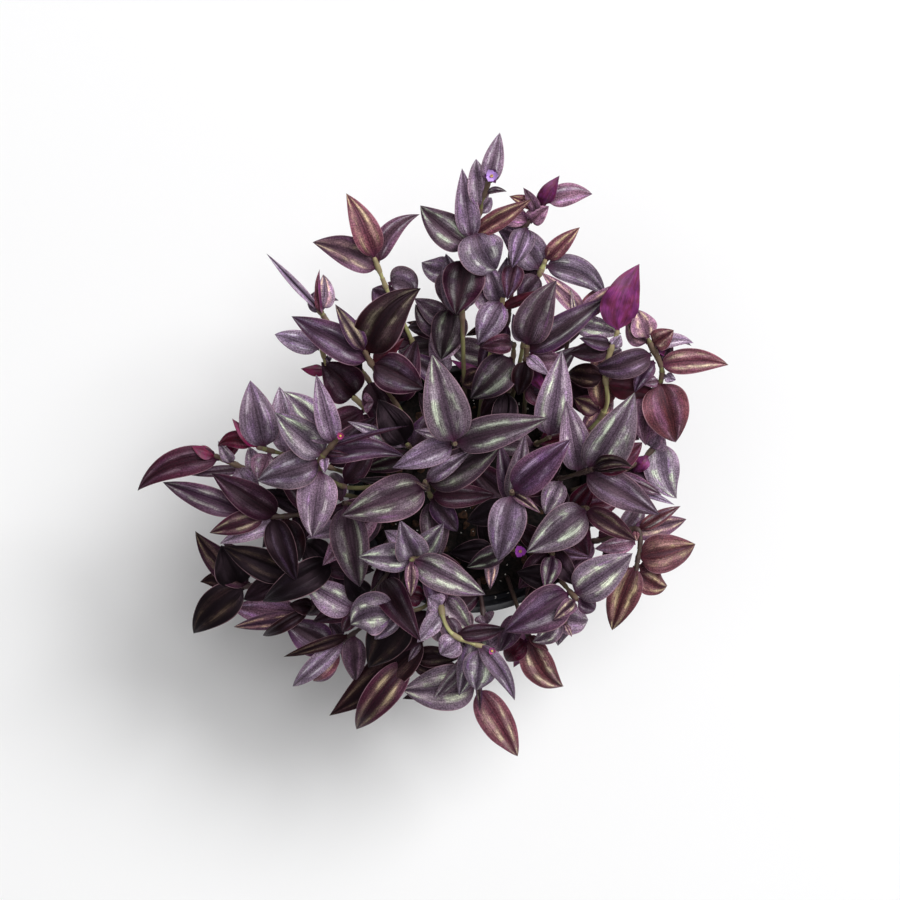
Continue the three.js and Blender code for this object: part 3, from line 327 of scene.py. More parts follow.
# The fine blades of some leaves bulge more than the plain ones: (shoot, tip pixel x, tip pixel y), and then how
# many millimetres more to the right of their heading, how many times as wide, and how many millimetres higher
TOUCHES = {
    ("north_west", 420, 214): (-3.0, 1.0, 0.0), ("north_west", 346, 193): (1.3, 1.05, 0.0),
    ("north_west", 312, 242): (2.4, 1.0, 0.0), ("north_west_near", 421, 288): (-2.8, 1.18, 0.0),
    ("north_flowering", 420, 205): (1.6, 1.0, 0.0), ("upper_middle", 454, 315): (0.0, 1.15, 0.0),
    ("north_east_middle", 557, 280): (-3.2, 1.15, 0.0), ("north_east_low", 496, 228): (6.5, 1.1, 3.0),
    ("north_flowering", 498, 269): (3.5, 1.35, 3.0), ("far_north_east", 622, 334): (0.0, 1.1, 4.0),
    ("north_east_stem", 639, 264): (-1.8, 1.12, 0.0), ("east_upper", 729, 365): (-2.6, 1.0, 0.0),
    ("east_far", 696, 544): (0.8, 1.08, 0.0), ("east_far", 668, 586): (1.0, 1.45, 0.0),
    ("south_east_low", 589, 620): (2.0, 1.3, 0.0), ("south_east_low", 532, 642): (-2.4, 1.15, 0.0),
    ("south_low", 564, 687): (2.2, 1.05, 0.0), ("south_stem", 515, 701): (-3.0, 1.0, 0.0),
    ("south_far", 518, 757): (1.5, 1.08, 0.0), ("west_lower_far", 195, 531): (-3.2, 1.4, 0.0),
    ("west_lower_far", 193, 634): (3.0, 1.05, 0.0), ("west_upper_middle", 250, 380): (0.0, 1.12, 0.0),
    ("west_far", 137, 491): (2.2, 1.0, 0.0), ("west_upper", 321, 362): (1.0, 1.12, 0.0),
    ("east_centre", 635, 392): (1.6, 1.12, 0.0), ("west_star", 406, 457): (-6.0, 1.0, 2.0),
    ("west_middle", 162, 482): (-2.0, 1.15, 0.0), ("south_west_far", 329, 716): (-1.5, 1.0, -9.0),
    ("south_west_far", 356, 730): (0.0, 1.0, 6.0), ("south_stem", 476, 691): (0.0, 1.25, 0.0),
    ("west_star", 316, 374): (0.0, 0.84, 0.0), ("south_west_stem", 350, 625): (14.0, 1.15, 1.0),
    ("centre_west", 504, 441): (1.5, 1.18, 0.0), ("north_middle", 470, 399): (-1.0, 1.12, 1.0),
    ("east_upper", 593, 368): (0.0, 1.05, 7.0), ("east_upper", 646, 446): (3.0, 1.15, 0.0),
    ("east_upper", 674, 330): (0.0, 1.5, 0.0), ("east_lower", 677, 499): (0.0, 0.94, -3.0),
    ("north_west", 416, 296): (2.5, 1.4, 0.0), ("north_flowering", 532, 199): (0.5, 1.5, 0.0),
    ("south_far", 430, 704): (0.0, 1.0, -5.0), ("south_west_far", 461, 658): (-1.0, 1.7, 0.0),
    ("south_west_low", 313, 682): (0.0, 1.3, 0.0), ("south_east", 553, 620): (0.0, 1.3, 0.0),
}

# Small leaves between the larger ones: shoot, look, pixel of the seat, pixel of the tip, rise of the tip, width,
# fold, bow. Most leave out the last two.
FILLERS = (
    ("north_flowering", "dark+grey", 466, 258, 456, 315, 8, 25, 8),
    ("north_east", "plum+violet", 516, 262, 507, 300, 6, 13, 10),
    ("upper_middle", "silver+grey", 442, 322, 414, 298, 2, 15),
    ("upper_middle", "sage", 447, 305, 441, 360, -8, 22), ("north_middle", "plum", 514, 342, 479, 347, -6, 12),
    ("upper_middle_east", "lilac", 503, 297, 507, 257, 2, 12),
    ("far_north_east", "rose", 578, 322, 604, 285, 2, 10),
    ("north_east_stem", "olive+lilac", 613, 345, 579, 338, 2, 9),
    ("north_east_stem", "pale+lilac", 611, 350, 621, 335, 4, 8),
    ("east_upper", "cream+rose", 650, 345, 627, 318, 2, 15, 13, -1),
    ("east_upper", "pale+lilac", 658, 345, 694, 343, 2, 9, 13, -3),
    ("east_upper", "violet+lilac", 659, 358, 635, 393, -4, 11, 20, 2),
    ("east_centre", "maroon+plum", 596, 466, 643, 442, -6, 17, 13, 2),
    ("east_lower", "pale+plum", 648, 450, 662, 430, 6, 15),
    ("east_far", "bronze+grey", 638, 530, 681, 506, 2, 9, 13, -1),
    ("east_far", "plum", 594, 540, 634, 527, -4, 15), ("east_far", "cream+plum", 594, 545, 564, 572, -6, 13),
    ("south_low", "maroon", 529, 639, 506, 662, -4, 14, 13, 2),
    ("south_stem", "pale+lilac", 462, 635, 440, 655, -6, 16, 8),
    ("south_west_far", "umber", 411, 662, 447, 679, -2, 12, 13, -1),
    ("south_far", "umber", 470, 672, 402, 699, -18, 15),
    ("south_west_low", "cream+violet", 338, 652, 314, 682, -4, 12, 13, -3),
    ("west_lower_far", "umber", 268, 583, 221, 541, 2, 11, 13, 2),
    ("west_lower_far", "black", 280, 580, 243, 600, -6, 14),
    ("west_low", "violet+umber", 275, 612, 233, 627, -4, 11),
    ("west_low", "umber+black", 314, 606, 289, 604, -6, 11),
    ("west_lower_far", "ink+black", 326, 564, 304, 540, 3, 20),
    ("south_west", "ink+black", 365, 600, 344, 574, -8, 16),
    ("south_west_low", "olive+dark", 345, 640, 329, 619, -4, 11),
    ("west_centre", "olive+black", 343, 503, 331, 472, -14, 13),
    ("west_star", "mauve+silver", 318, 436, 283, 391, -14, 20, 13, 2),
    ("west_far", "pale+grey", 262, 470, 249, 446, 4, 11),
    ("west_upper_middle", "wine", 252, 447, 217, 446, -4, 11, 13, 4),
    ("north_west_far", "pale+rose", 321, 312, 323, 274, 4, 13, 13, 2),
    ("north_west", "violet+lilac", 395, 303, 372, 288, -2, 16),
    ("north_east", "blush+plum", 530, 222, 483, 217, 4, 12, 13, 2),
    ("north_east", "lilac", 525, 228, 508, 208, 2, 12), ("west_upper", "black", 340, 386, 362, 362, 4, 14),
    ("south_far", "pale+black", 481, 654, 508, 628, -4, 14),
    ("south_east", "violet+dark", 577, 598, 596, 610, -6, 12),
    ("north_west_far", "pale", 313, 305, 267, 254, 5, 5.5, 10),
    ("upper_middle", "dark+grey", 446, 330, 407, 327, -6, 14),
    ("north_east", "lilac+violet", 525, 223, 512, 268, 3, 15, 8),
    ("south_stem", "pale+lilac", 438, 612, 428, 596, 4, 13, 8),
    ("south_stem", "silver+pale", 434, 612, 466, 647, -7, 28, 10),
    ("south_west_stem", "ink+umber", 408, 616, 368, 668, -16, 27, 12),
    ("east_centre", "umber+cream", 594, 468, 633, 467, 3, 9, 20, -4),
    ("upper_middle", "dark+grey", 447, 345, 397, 352, -10, 15),
    ("upper_middle", "plum+umber", 447, 330, 406, 322, -5, 9, 20),
    ("upper_middle_east", "dark+umber", 484, 372, 460, 384, -6, 13),
    ("north_east_middle", "lilac+violet", 526, 345, 513, 314, 2, 11),
    ("west_lower_far", "umber", 238, 588, 200, 582, -5, 13, 13, 3),
    ("south_east_low", "silver+grey", 560, 620, 558, 646, -6, 12),
    ("centre_south_east", "violet+silver", 553, 556, 545, 590, 0, 13, 20),
    ("east_far", "bronze+plum", 636, 566, 668, 570, -6, 12),
)

# Each flower: petal length, how far its petals stand up, how far its sepals reach, colour of its petals
FLOWERS = {
    "flower_north": (3.8, 3.0, 4.6, (190, 154, 222)),
    "flower_west": (2.3, 2.2, 2.4, (168, 62, 120)),
    "flower_south": (2.3, 2.2, 2.4, (172, 70, 136)),
    "flower_centre": (3.8, 1.9, 2.8, (168, 72, 186)),
}

# The looks of a leaf, in screen colours: inner band, outer band, stripe, strength of the stripe, underside. Their
# brightness is partly painted light and shade: pale and mauve are lighter copies for leaves in full light, and
# dark, black and ink are darker copies for leaves deep in shade.
LOOKS = {
    "lilac": ((84, 75, 86), (108, 98, 110), (176, 172, 180), 0.85, (100, 56, 84)),
    "grey": ((64, 54, 60), (82, 70, 78), (156, 158, 154), 0.85, (92, 54, 78)),
    "silver": ((80, 70, 79), (96, 86, 93), (190, 204, 180), 1.0, (100, 54, 82)),
    "sage": ((48, 44, 46), (58, 50, 56), (136, 148, 130), 0.9, (80, 50, 66)),
    "violet": ((60, 47, 59), (83, 63, 78), (150, 134, 158), 0.75, (96, 50, 82)),
    "dark": ((47, 25, 34), (57, 31, 49), (92, 88, 92), 0.7, (66, 36, 52)),
    "black": ((34, 15, 24), (41, 19, 27), (62, 56, 60), 0.6, (50, 26, 38)),
    "plum": ((56, 33, 46), (71, 46, 55), (126, 106, 118), 0.55, (92, 50, 74)),
    "rose": ((98, 62, 69), (120, 79, 87), (204, 186, 160), 1.0, (112, 62, 92)),
    "maroon": ((63, 8, 38), (75, 16, 50), (118, 86, 96), 0.4, (112, 60, 90)),
    "cream": ((81, 64, 72), (103, 78, 94), (208, 198, 166), 1.05, (112, 60, 88)),
    "bronze": ((79, 52, 54), (99, 66, 70), (190, 174, 138), 1.05, (98, 50, 62)),
    "umber": ((31, 6, 8), (45, 8, 12), (112, 98, 84), 0.6, (70, 34, 44)),
    "olive": ((59, 51, 55), (70, 52, 73), (130, 128, 104), 0.7, (84, 46, 62)),
    "mauve": ((104, 91, 105), (130, 115, 131), (206, 202, 208), 0.75, (118, 70, 102)),
    "pale": ((128, 115, 130), (152, 136, 152), (222, 218, 222), 0.7, (132, 86, 114)),
    "blush": ((124, 95, 110), (147, 113, 133), (209, 188, 192), 0.6, (130, 80, 110)),
    "wine": ((70, 14, 40), (84, 20, 54), (118, 86, 96), 0.4, (98, 18, 60)),
    "ink": ((8, 5, 6), (12, 7, 9), (56, 50, 56), 0.6, (36, 18, 28)),
}


def seen(pixel_x, pixel_y, height):
    """The point at a given height that the photograph shows at a pixel."""
    scale = (EYE[2] - height) / FOCAL_PIXELS
    return np.array(
        [EYE[0] + (pixel_x - CENTRE_PIXEL) * scale, EYE[1] - (pixel_y - CENTRE_PIXEL) * scale, height]
    )


def unit(vectors):
    """A direction of length 1, or an array of them."""
    return vectors / np.linalg.norm(vectors, axis=-1, keepdims=True)


def lengths_along(line):
    """How far along a line each of its points lies."""
    return np.concatenate([[0], np.cumsum(np.linalg.norm(np.diff(line, axis=0), axis=1))])


def linear(colour):
    """A screen colour, 0 to 255, as linear light."""
    share = np.asarray(colour, float) / 255
    return np.where(share <= 0.04045, share / 12.92, ((share + 0.055) / 1.055) ** 2.4)


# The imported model's plan: its stems
SOIL_LEVEL = 118.0
ROOT_DEPTH = 16.0
STEM_STEP = 30.0
STEM_RISE = 10.0
CURVE_SAMPLES = 200


def curve_point(points, t):
    """A point of the centripetal Catmull-Rom curve through the points, t from 0 to 1."""
    last = len(points) - 1
    place = last * t
    k = min(int(place), last - 1)
    weight = place - k
    p1, p2 = points[k], points[k + 1]
    p0 = points[k - 1] if k > 0 else 2 * points[0] - points[1]
    p3 = points[k + 2] if k + 2 <= last else 2 * points[last] - points[last - 1]
    d0, d1, d2 = (np.linalg.norm(b - a) ** 0.5 for a, b in ((p0, p1), (p1, p2), (p2, p3)))
    t1 = ((p1 - p0) / d0 - (p2 - p0) / (d0 + d1) + (p2 - p1) / d1) * d1
    t2 = ((p2 - p1) / d1 - (p3 - p1) / (d1 + d2) + (p3 - p2) / d2) * d1
    c2 = -3 * p1 + 3 * p2 - 2 * t1 - t2
    c3 = 2 * p1 - 2 * p2 + t1 + t2
    return p1 + weight * (t1 + weight * (c2 + weight * c3))


class Course:
    """A stem's centreline: upright in its hole, then a smooth curve through its points."""

    def __init__(self, rows):
        x, y, _ = seen(rows[0][0], rows[0][1], SOIL_LEVEL)
        self.points = [np.array([x, y, SOIL_LEVEL + STEM_RISE])] + [seen(*row) for row in rows[1:]]
        shares = np.arange(CURVE_SAMPLES + 1) / CURVE_SAMPLES
        walked = lengths_along([curve_point(self.points, share) for share in shares])
        steps = math.ceil(walked[-1] / STEM_STEP)
        self.bends = [np.array([x, y, SOIL_LEVEL - ROOT_DEPTH])]
        for k in range(steps + 1):
            self.bends.append(curve_point(self.points, np.interp(k / steps * walked[-1], walked, shares)))

    def length_at(self, target):
        """How far along the straight steps the point nearest to a target lies."""
        walked, best, distance = 0.0, 0.0, math.inf
        for a, b in zip(self.bends, self.bends[1:]):
            step = b - a
            length = np.linalg.norm(step)
            share = min(max(np.dot(target - a, step) / length**2, 0), 1)
            gap = np.linalg.norm(a + share * step - target)
            if gap < distance:
                best, distance = walked + share * length, gap
            walked += length
        return best

    def point_at(self, length):
        """The point at a length along the straight steps."""
        left = max(length, 0.0)
        for k, (a, b) in enumerate(zip(self.bends, self.bends[1:])):
            step = np.linalg.norm(b - a)
            if left <= step or k + 2 == len(self.bends):
                return a + (b - a) * min(left / step, 1)
            left -= step


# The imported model's plan: its leaves
SEAT_DEPTH = 1.5
NODE_SPACING = 3.6
BLADE_THICKNESS = 0.7
OPEN_FOLD = 13.0
ARCH = 0.11
SHEATH_LENGTH = 2.6
STATIONS = {"large": (0, 0.12, 0.36, 0.7, 1), "middle": (0, 0.16, 0.5, 1), "small": (0, 0.4, 1)}
LARGE_WIDTH = 20.0
SMALL_WIDTH = 12.0
# The low leaf of a stem that is long enough for one
LOWER_LEAF_STEM = 45.0
LOWER_LEAF_PLACE = 0.45
LOWER_LEAF_LENGTH = (30.0, 42.0)
LOWER_LEAF_DROP = (2.0, 14.0)
LOWER_LEAF_SLENDERNESS = 0.46
GOLDEN_ANGLE = 2.4
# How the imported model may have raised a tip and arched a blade, the smallest change first. A millimetre of arch
# counts for more than one of rise.
ARCH_COST = 1.5
BENDS = sorted(
    ((rise, arch)
     for rise in (0, -3, 3, -6, 6, -10, 10, -14, 14, -19, 19, -25, 25, -32, 32)
     for arch in (0, 4, -4, 8)),
    key=lambda bend: abs(bend[0]) + ARCH_COST * abs(bend[1]),
)
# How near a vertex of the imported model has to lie, in metres
MATCH = 3e-5
# The plain blade's outline: how near its base it is widest, and how full it is
PLAIN_SKEW = 0.7
PLAIN_FULLNESS = 0.9
# The fine blade's outline: how fast it widens from its base, and how long it is drawn out to its point
OUTLINE_BASE = 0.48
OUTLINE_TIP = 1.02


def size_of(width):
    """The size of a leaf, by its width."""
    return "small" if width < SMALL_WIDTH else "middle" if width < LARGE_WIDTH else "large"


class Leaf:
    """One blade, from its seat on the stem to its tip. Places t go from 0 at the seat to 1 at the tip."""

    def __init__(self, look, seat, aim, width, roll=0.0, fold=OPEN_FOLD, bow=0.0, stations=None, base_arch=None):
        self.look = look
        self.seat = seat
        self.aim = aim
        self.width = width
        self.roll = math.radians(roll)
        self.fold = math.radians(fold)
        self.bow = bow
        self.stations = stations or STATIONS[size_of(width)]
        self.base_arch = base_arch

    def bend(self, rise, extra_arch):
        """Raises the tip and arches the blade. A leaf without an arch of its own takes it from its length."""
        self.tip = self.aim(rise)
        self.chord = self.tip - self.seat
        self.length = np.linalg.norm(self.chord)
        self.arch = (ARCH * self.length if self.base_arch is None else self.base_arch) + extra_arch

    def past_sheath(self, t):
        """Places t as shares of the length past the sheath."""
        sheath = SHEATH_LENGTH / self.length
        return np.clip((t - sheath) / (1 - sheath), 0, 1)

    def half_width(self, t):
        """Half of the plain blade's width at places t."""
        return self.width / 2 * np.abs(np.sin(np.pi * self.past_sheath(t) ** PLAIN_SKEW)) ** PLAIN_FULLNESS

    def fine_half_width(self, t):
        """Half of the fine blade's width at places t: round at its base, and drawn out to a point."""
        along = self.past_sheath(t)
        widest = OUTLINE_BASE / (OUTLINE_BASE + OUTLINE_TIP)
        most = widest**OUTLINE_BASE * (1 - widest) ** OUTLINE_TIP
        return self.width / 2 * (along**OUTLINE_BASE * (1 - along) ** OUTLINE_TIP / most)

    def frames(self, t):
        """The midrib's points at places t, and the blade's sideways and upward directions there."""
        t = np.asarray(t, float)[:, None]
        ahead = unit(self.chord)
        up = unit(UP - ahead[2] * ahead)
        right = np.cross(ahead, up)
        swing = 4 * t * (1 - t)
        slope = 4 * (1 - 2 * t)
        centre = self.seat + self.chord * t + (up * self.arch + right * self.bow) * swing
        tangent = unit(self.chord + (up * self.arch + right * self.bow) * slope)
        side = right * math.cos(self.roll) + up * math.sin(self.roll)
        side = unit(side - tangent * (tangent @ side)[:, None])
        return centre, side, np.cross(side, tangent)

    def corner(self, t, column):
        """The plain blade's upper corner at a station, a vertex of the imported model."""
        centre, side, normal = (rows[0] for rows in self.frames([t]))
        if column == 0:
            return centre + normal * (BLADE_THICKNESS / 2)
        outward = column * side
        half = self.half_width(np.array([t]))[0]
        edge = centre + half * (outward * math.cos(self.fold) + normal * math.sin(self.fold))
        return edge + (normal * math.cos(self.fold) - outward * math.sin(self.fold)) * (BLADE_THICKNESS / 2)


def settle(leaf, tree):
    """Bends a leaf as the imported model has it, and tells whether the model has it at all."""
    for rise, arch in BENDS:
        leaf.bend(rise, arch)
        if tree.find(leaf.corner(1, 0) * MM)[2] > MATCH:
            continue
        corners = [leaf.corner(leaf.stations[-2], column) * MM for column in (-1, 1)]
        if any(tree.find(corner)[2] < MATCH for corner in corners):
            return True
    return False


def make_draw(seed):
    """A seeded draw between two limits."""
    state = [seed]

    def draw(limits):
        state[0] = (state[0] * 1664525 + 1013904223) % 2**32
        return limits[0] + (limits[1] - limits[0]) * state[0] / 2**32

    return draw


def table_leaves(course, rows):
    """The leaves of a shoot's table. Those of one stem point sit one below the other."""
    taken = {}
    for look, point, tip_x, tip_y, rise, width, *shape in rows:
        taken[point] = taken.get(point, -1) + 1
        node = course.points[point]
        seat = course.point_at(course.length_at(node) - SEAT_DEPTH - NODE_SPACING * taken[point])
        height = node[2] + rise
        yield Leaf(look, seat, lambda more, x=tip_x, y=tip_y, z=height: seen(x, y, z + more), width, *shape)


# The looks of the low leaves that the photograph shows; the others are dark, a painted shade for leaves deep under
# the foliage
LOWER_LOOKS = {
    "north_flowering": "lilac", "upper_middle": "silver", "south_far": "lilac+silver", "north_middle": "ink",
    "centre_west": "grey", "north_east": "violet", "west_upper": "plum", "north_east_stem": "bronze",
    "north_east_middle": "grey", "north_east_centre": "grey", "south_stem": "violet", "east_centre": "plum",
}


def lower_leaf(name, course, heading, draw):
    """The low leaf near a stem's foot."""
    start, end = course.length_at(course.points[0]), course.length_at(course.points[-1])
    seat = course.point_at(start + (end - start) * LOWER_LEAF_PLACE)
    length = draw(LOWER_LEAF_LENGTH)
    drop = draw(LOWER_LEAF_DROP)
    tip = seat + np.array([length * math.cos(heading), length * math.sin(heading), -drop])
    return Leaf(
        LOWER_LOOKS.get(name, "dark"),
        seat,
        lambda more: tip + more * UP,
        LOWER_LEAF_SLENDERNESS * length,
        stations=STATIONS["small"],
        base_arch=ARCH * length,
    )


# Fine meshes. Edges sharper than so many degrees stay sharp.
SHARP_ANGLE = 62.0


def link_object(name, mesh):
    """A mesh as an object of the scene."""
    mesh.validate()
    piece = bpy.data.objects.new(name, mesh)
    bpy.context.scene.collection.objects.link(piece)
    return piece


def smooth(piece, sharp_angle):
    """Shades a piece smoothly, apart from its edges past an angle in degrees."""
    mesh = piece.data
    mesh.polygons.foreach_set("use_smooth", [True] * len(mesh.polygons))
    mesh.set_sharp_from_angle(angle=math.radians(sharp_angle))


def place_piece(piece, slot, *nodes):
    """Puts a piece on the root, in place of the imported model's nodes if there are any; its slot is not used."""
    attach(piece, "root")
    if nodes:
        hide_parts(*nodes)


class Surface:
    """Points, faces and what the materials read at each point, gathered for one piece."""

    FIELDS = ("inner", "outer", "stripe", "under", "rim")

    def __init__(self):
        self.points = []
        self.faces = []
        self.slots = []
        self.places = []
        self.strengths = []
        self.colours = {name: [] for name in self.FIELDS}
        self.count = 0

    def add(self, points, faces, slots, places, look=None):
        """Adds a patch. A look gives its points the leaf colours."""
        size = len(points)
        self.points.append(points)
        self.faces.extend([tuple(self.count + k for k in face) for face in faces])
        self.slots.extend(slots)
        self.places.append(places)
        self.strengths.append(np.full(size, look["strength"] if look else 0.0))
        for name in self.FIELDS:
            self.colours[name].append(np.tile(look[name] if look else (0, 0, 0), (size, 1)))
        self.count += size

    def make(self, name, materials, slot, *nodes):
        """Makes the piece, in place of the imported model's nodes."""
        mesh = bpy.data.meshes.new(name)
        mesh.from_pydata((np.concatenate(self.points) * MM).tolist(), [], self.faces)
        for material in materials:
            mesh.materials.append(material)
        mesh.polygons.foreach_set("material_index", self.slots)
        place = mesh.attributes.new("place", "FLOAT_VECTOR", "POINT")
        place.data.foreach_set("vector", np.concatenate(self.places).astype(np.float32).ravel())
        strength = mesh.attributes.new("strength", "FLOAT", "POINT")
        strength.data.foreach_set("value", np.concatenate(self.strengths).astype(np.float32))
        for field in self.FIELDS:
            rows = np.concatenate(self.colours[field])
            rows = np.hstack([rows, np.ones((len(rows), 1))]).astype(np.float32)
            mesh.attributes.new(field, "FLOAT_COLOR", "POINT").data.foreach_set("color", rows.ravel())
        piece = link_object(name, mesh)
        smooth(piece, SHARP_ANGLE)
        place_piece(piece, slot, *nodes)


def place_grid(across, along, number):
    """What the materials read on a grid: the place across and along it, and the grid's own number."""
    return np.stack(np.broadcast_arrays(across, along, number), axis=-1)


# The part of what the photograph shows of a leaf that is gloss and not its own colour, and the least share that is
# its own
GLOSS_VEIL = 0.018
OWN_SHARE = 0.3
# How far a stripe darkens with its ground, the warmth of all leaf colours, and how one leaf differs from the next
STRIPE_DIMMING = 0.6
WARMTH = (1.13, 1.05, 1.1)
LIGHT_SPREAD = (0.93, 1.07)
HUE_SPREAD = (0.97, 1.03)
STRIPE_SPREAD = (0.8, 1.1)
RIM_COLOUR = (196, 160, 168)


def own_colour(seen_colour):
    """A surface's own colour, as linear light, from the screen colour that it shows in full light."""
    light = linear(seen_colour)
    return np.maximum(light - GLOSS_VEIL, OWN_SHARE * light)


def shade(look, chance):
    """A leaf's colours, with the painted light and shade that its look carries. Of a look named GROUND+STRIPE, the
    stripe is as bright as it is on its own ground.
    """
    ground, _, stripe_name = look.partition("+")
    inner, outer, _, _, under = LOOKS[ground]
    _, own_ground, stripe, strength, _ = LOOKS[stripe_name or ground]
    dimming = (own_colour(outer).mean() / own_colour(own_ground).mean()) ** STRIPE_DIMMING
    light, red, blue = (chance.uniform(*spread) for spread in (LIGHT_SPREAD, HUE_SPREAD, HUE_SPREAD))
    light = light * np.array([red, 1.0, blue]) * WARMTH
    return {
        "inner": own_colour(inner) * light,
        "outer": own_colour(outer) * light,
        "stripe": own_colour(stripe) * light * dimming,
        "under": own_colour(under) * light,
        "rim": (own_colour(outer) + own_colour(RIM_COLOUR)) / 2 * light,
        "strength": strength * chance.uniform(*STRIPE_SPREAD),
    }


# Fine leaves
LEAF_TOP, LEAF_UNDER, STEM, SHEATH = range(4)
LEAF_ROWS = {"large": 30, "middle": 24, "small": 18}
LEAF_COLUMNS = 15
# The share of even spacing in a blade's rows, which otherwise gather at both ends
EVEN_ROWS = 0.55
MIDRIB_THICKNESS = 0.55
# A blade narrower than this on either side of its midrib is thinner
THICK_HALF_WIDTH = 2.5
# A blade clasps its stem with this half width, which fades out over this length
BASE_HALF_WIDTH = 1.5
BASE_LENGTH = 9.0
# How the folded halves curve: a rounded ridge, and a slight cup
CROWN = 0.85
CUP = 0.1
# Waves along the edges: their height, its spread, their turns and how far they keep to the edge
EDGE_WAVE = 0.055
EDGE_SPREAD = (0.5, 1.3)
EDGE_TURNS = (1.2, 2.4)
EDGE_POWER = 1.6
# Ripples over the whole blade
RIPPLE = 0.07
RIPPLE_TURNS = (1.0, 2.2)
RIPPLE_SLANT = (-0.5, 0.5)
UNEVEN_HALVES = 0.07
UNEVEN_FOLD = 0.5
# The tip droops by so many millimetres from this place on
TIP_DROOP = 0.6
DROOP_FROM = 0.72


def wavy_sheet(leaf, t, s, start, chance):
    """A fine blade's middle surface at places t along it and s across it, and half of its thickness there."""
    centre, side, normal = leaf.frames(t)
    clasp = BASE_HALF_WIDTH * np.clip(1 - (t - start) * leaf.length / BASE_LENGTH, 0, 1)
    half = np.sqrt(leaf.fine_half_width(t) ** 2 + clasp**2)
    half[-1] = 0
    along, half, across = t[:, None], half[:, None], np.abs(s)
    # One phase for each edge and one for the ripples; the fourth keeps the later draws as they are
    phase = chance.uniform(0, 2 * np.pi, 4)
    turns = chance.uniform(*EDGE_TURNS, 2)
    amount = chance.uniform(*EDGE_SPREAD) * EDGE_WAVE
    uneven = 1 + chance.uniform(-1, 1) * UNEVEN_HALVES * s
    lean = 1 + chance.uniform(-1, 1) * UNEVEN_FOLD * s
    waves = 2 * np.pi * (chance.uniform(*RIPPLE_TURNS) * along + chance.uniform(*RIPPLE_SLANT) * s)
    left, right = (np.sin(2 * np.pi * turn * along + shift) for turn, shift in zip(turns, phase))
    wave = amount * np.where(s < 0, left, right) * across**EDGE_POWER
    crown = math.sin(leaf.fold) * across * (1 + CROWN - CROWN * across) + CUP * across * (1 - across)
    ripple = RIPPLE * np.sin(waves + phase[2]) * np.sin(np.pi * along) * across
    height = half * (crown * lean + wave + ripple)
    height -= np.clip((along - DROOP_FROM) / (1 - DROOP_FROM), 0, 1) ** 2 * TIP_DROOP
    lateral = half * s * uneven * math.cos(leaf.fold)
    sheet = centre[:, None] + side[:, None] * lateral[..., None] + normal[:, None] * height[..., None]
    depth = MIDRIB_THICKNESS * np.sqrt(np.clip(1 - s**2, 0, 1)) * np.clip(half / THICK_HALF_WIDTH, 0, 1)
    depth[0] = 0
    return sheet, normal[:, None] * (depth / 2)[..., None]


def blade_faces(rows, columns):
    """A blade's faces, upper and lower in turn. The lower side shares the points of the edges, base and tip."""
    tip = (rows - 1) * columns

    def upper(i, j):
        return i * columns + j

    def lower(i, j):
        if i == 0 or j in (0, columns - 1):
            return upper(i, j)
        return tip + 1 + (i - 1) * (columns - 2) + j - 1

    faces = []
    for i in range(rows - 2):
        for j in range(columns - 1):
            faces.append((upper(i, j), upper(i, j + 1), upper(i + 1, j + 1), upper(i + 1, j)))
            faces.append((lower(i, j), lower(i + 1, j), lower(i + 1, j + 1), lower(i, j + 1)))
    for j in range(columns - 1):
        faces.append((upper(rows - 2, j), upper(rows - 2, j + 1), tip))
        faces.append((lower(rows - 2, j), tip, lower(rows - 2, j + 1)))
    return faces


def add_blade(surface, leaf, chance):
    """A thin waved blade whose edges and midrib run as the plain blade's do."""
    rows = LEAF_ROWS[size_of(leaf.width)]
    start = 0.5 * SHEATH_LENGTH / leaf.length
    even = np.linspace(0, 1, rows)
    along = EVEN_ROWS * even + (1 - EVEN_ROWS) * (0.5 - 0.5 * np.cos(np.pi * even))
    even = np.linspace(-1, 1, LEAF_COLUMNS)
    s = 0.5 * np.sin(even * np.pi / 2) + 0.5 * even
    sheet, lift = wavy_sheet(leaf, start + (1 - start) * along, s, start, chance)
    top, under = (sheet + lift)[:-1].reshape(-1, 3), (sheet - lift)[1:-1, 1:-1].reshape(-1, 3)
    faces = blade_faces(rows, LEAF_COLUMNS)
    slots = [LEAF_TOP, LEAF_UNDER] * (len(faces) // 2)
    seed = chance.uniform(0, 100)
    grid = place_grid(s, along[:, None], seed)
    places = np.concatenate([grid[:-1].reshape(-1, 3), [[0, 1, seed]], grid[1:-1, 1:-1].reshape(-1, 3)])
    surface.add(np.concatenate([top, sheet[-1, :1], under]), faces, slots, places, shade(leaf.look, chance))


# Fine stems
STEM_SECTIONS = 12
STEM_FINE_STEP = 1.6
LEAST_STEPS = 8
FOOT_STEPS = 11
# A direction that no stem starts in, to turn its rings by
SKEW = (0.31, 0.95, 0.11)
STEM_BASE_RADIUS = 2.1
STEM_TIP_RADIUS = 1.5
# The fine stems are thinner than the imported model's, and so are their last two rings
FINE_STEM = 0.72
STEM_END = (0.85, 0.55)
NODE_SWELL = 0.4
NODE_REACH = 1.8
# A sheath starts below its node, and stands off the stem a little more toward its mouth
SHEATH_REACH = 6.5
SHEATH_SPREAD = (0.7, 1.1)
SHEATH_BELOW = 1.5
SHEATH_RINGS = 7
SHEATH_PLAY = (0.1, 0.32)
SHEATH_SPACING = 5.0
# The colours of a stem: its green, its brown, its sheaths
STEM_TONES = {
    "green": ((180, 180, 122), (146, 134, 96), (158, 142, 110)),
    "olive": ((120, 118, 78), (100, 80, 66), (112, 92, 76)),
    "dark": ((74, 62, 46), (62, 44, 42), (76, 56, 50)),
}
GREEN_STEMS = ("north_west", "north_east_stem", "south_stem", "north_east_low", "upper_middle", "upper_middle_east",
               "west_upper")
DARK_STEMS = ("north_east", "east_far", "west_middle", "west_lower_far", "south_low", "far_north_east",
              "south_far", "west_centre", "west_low", "south_west", "south_west_low", "east_centre")


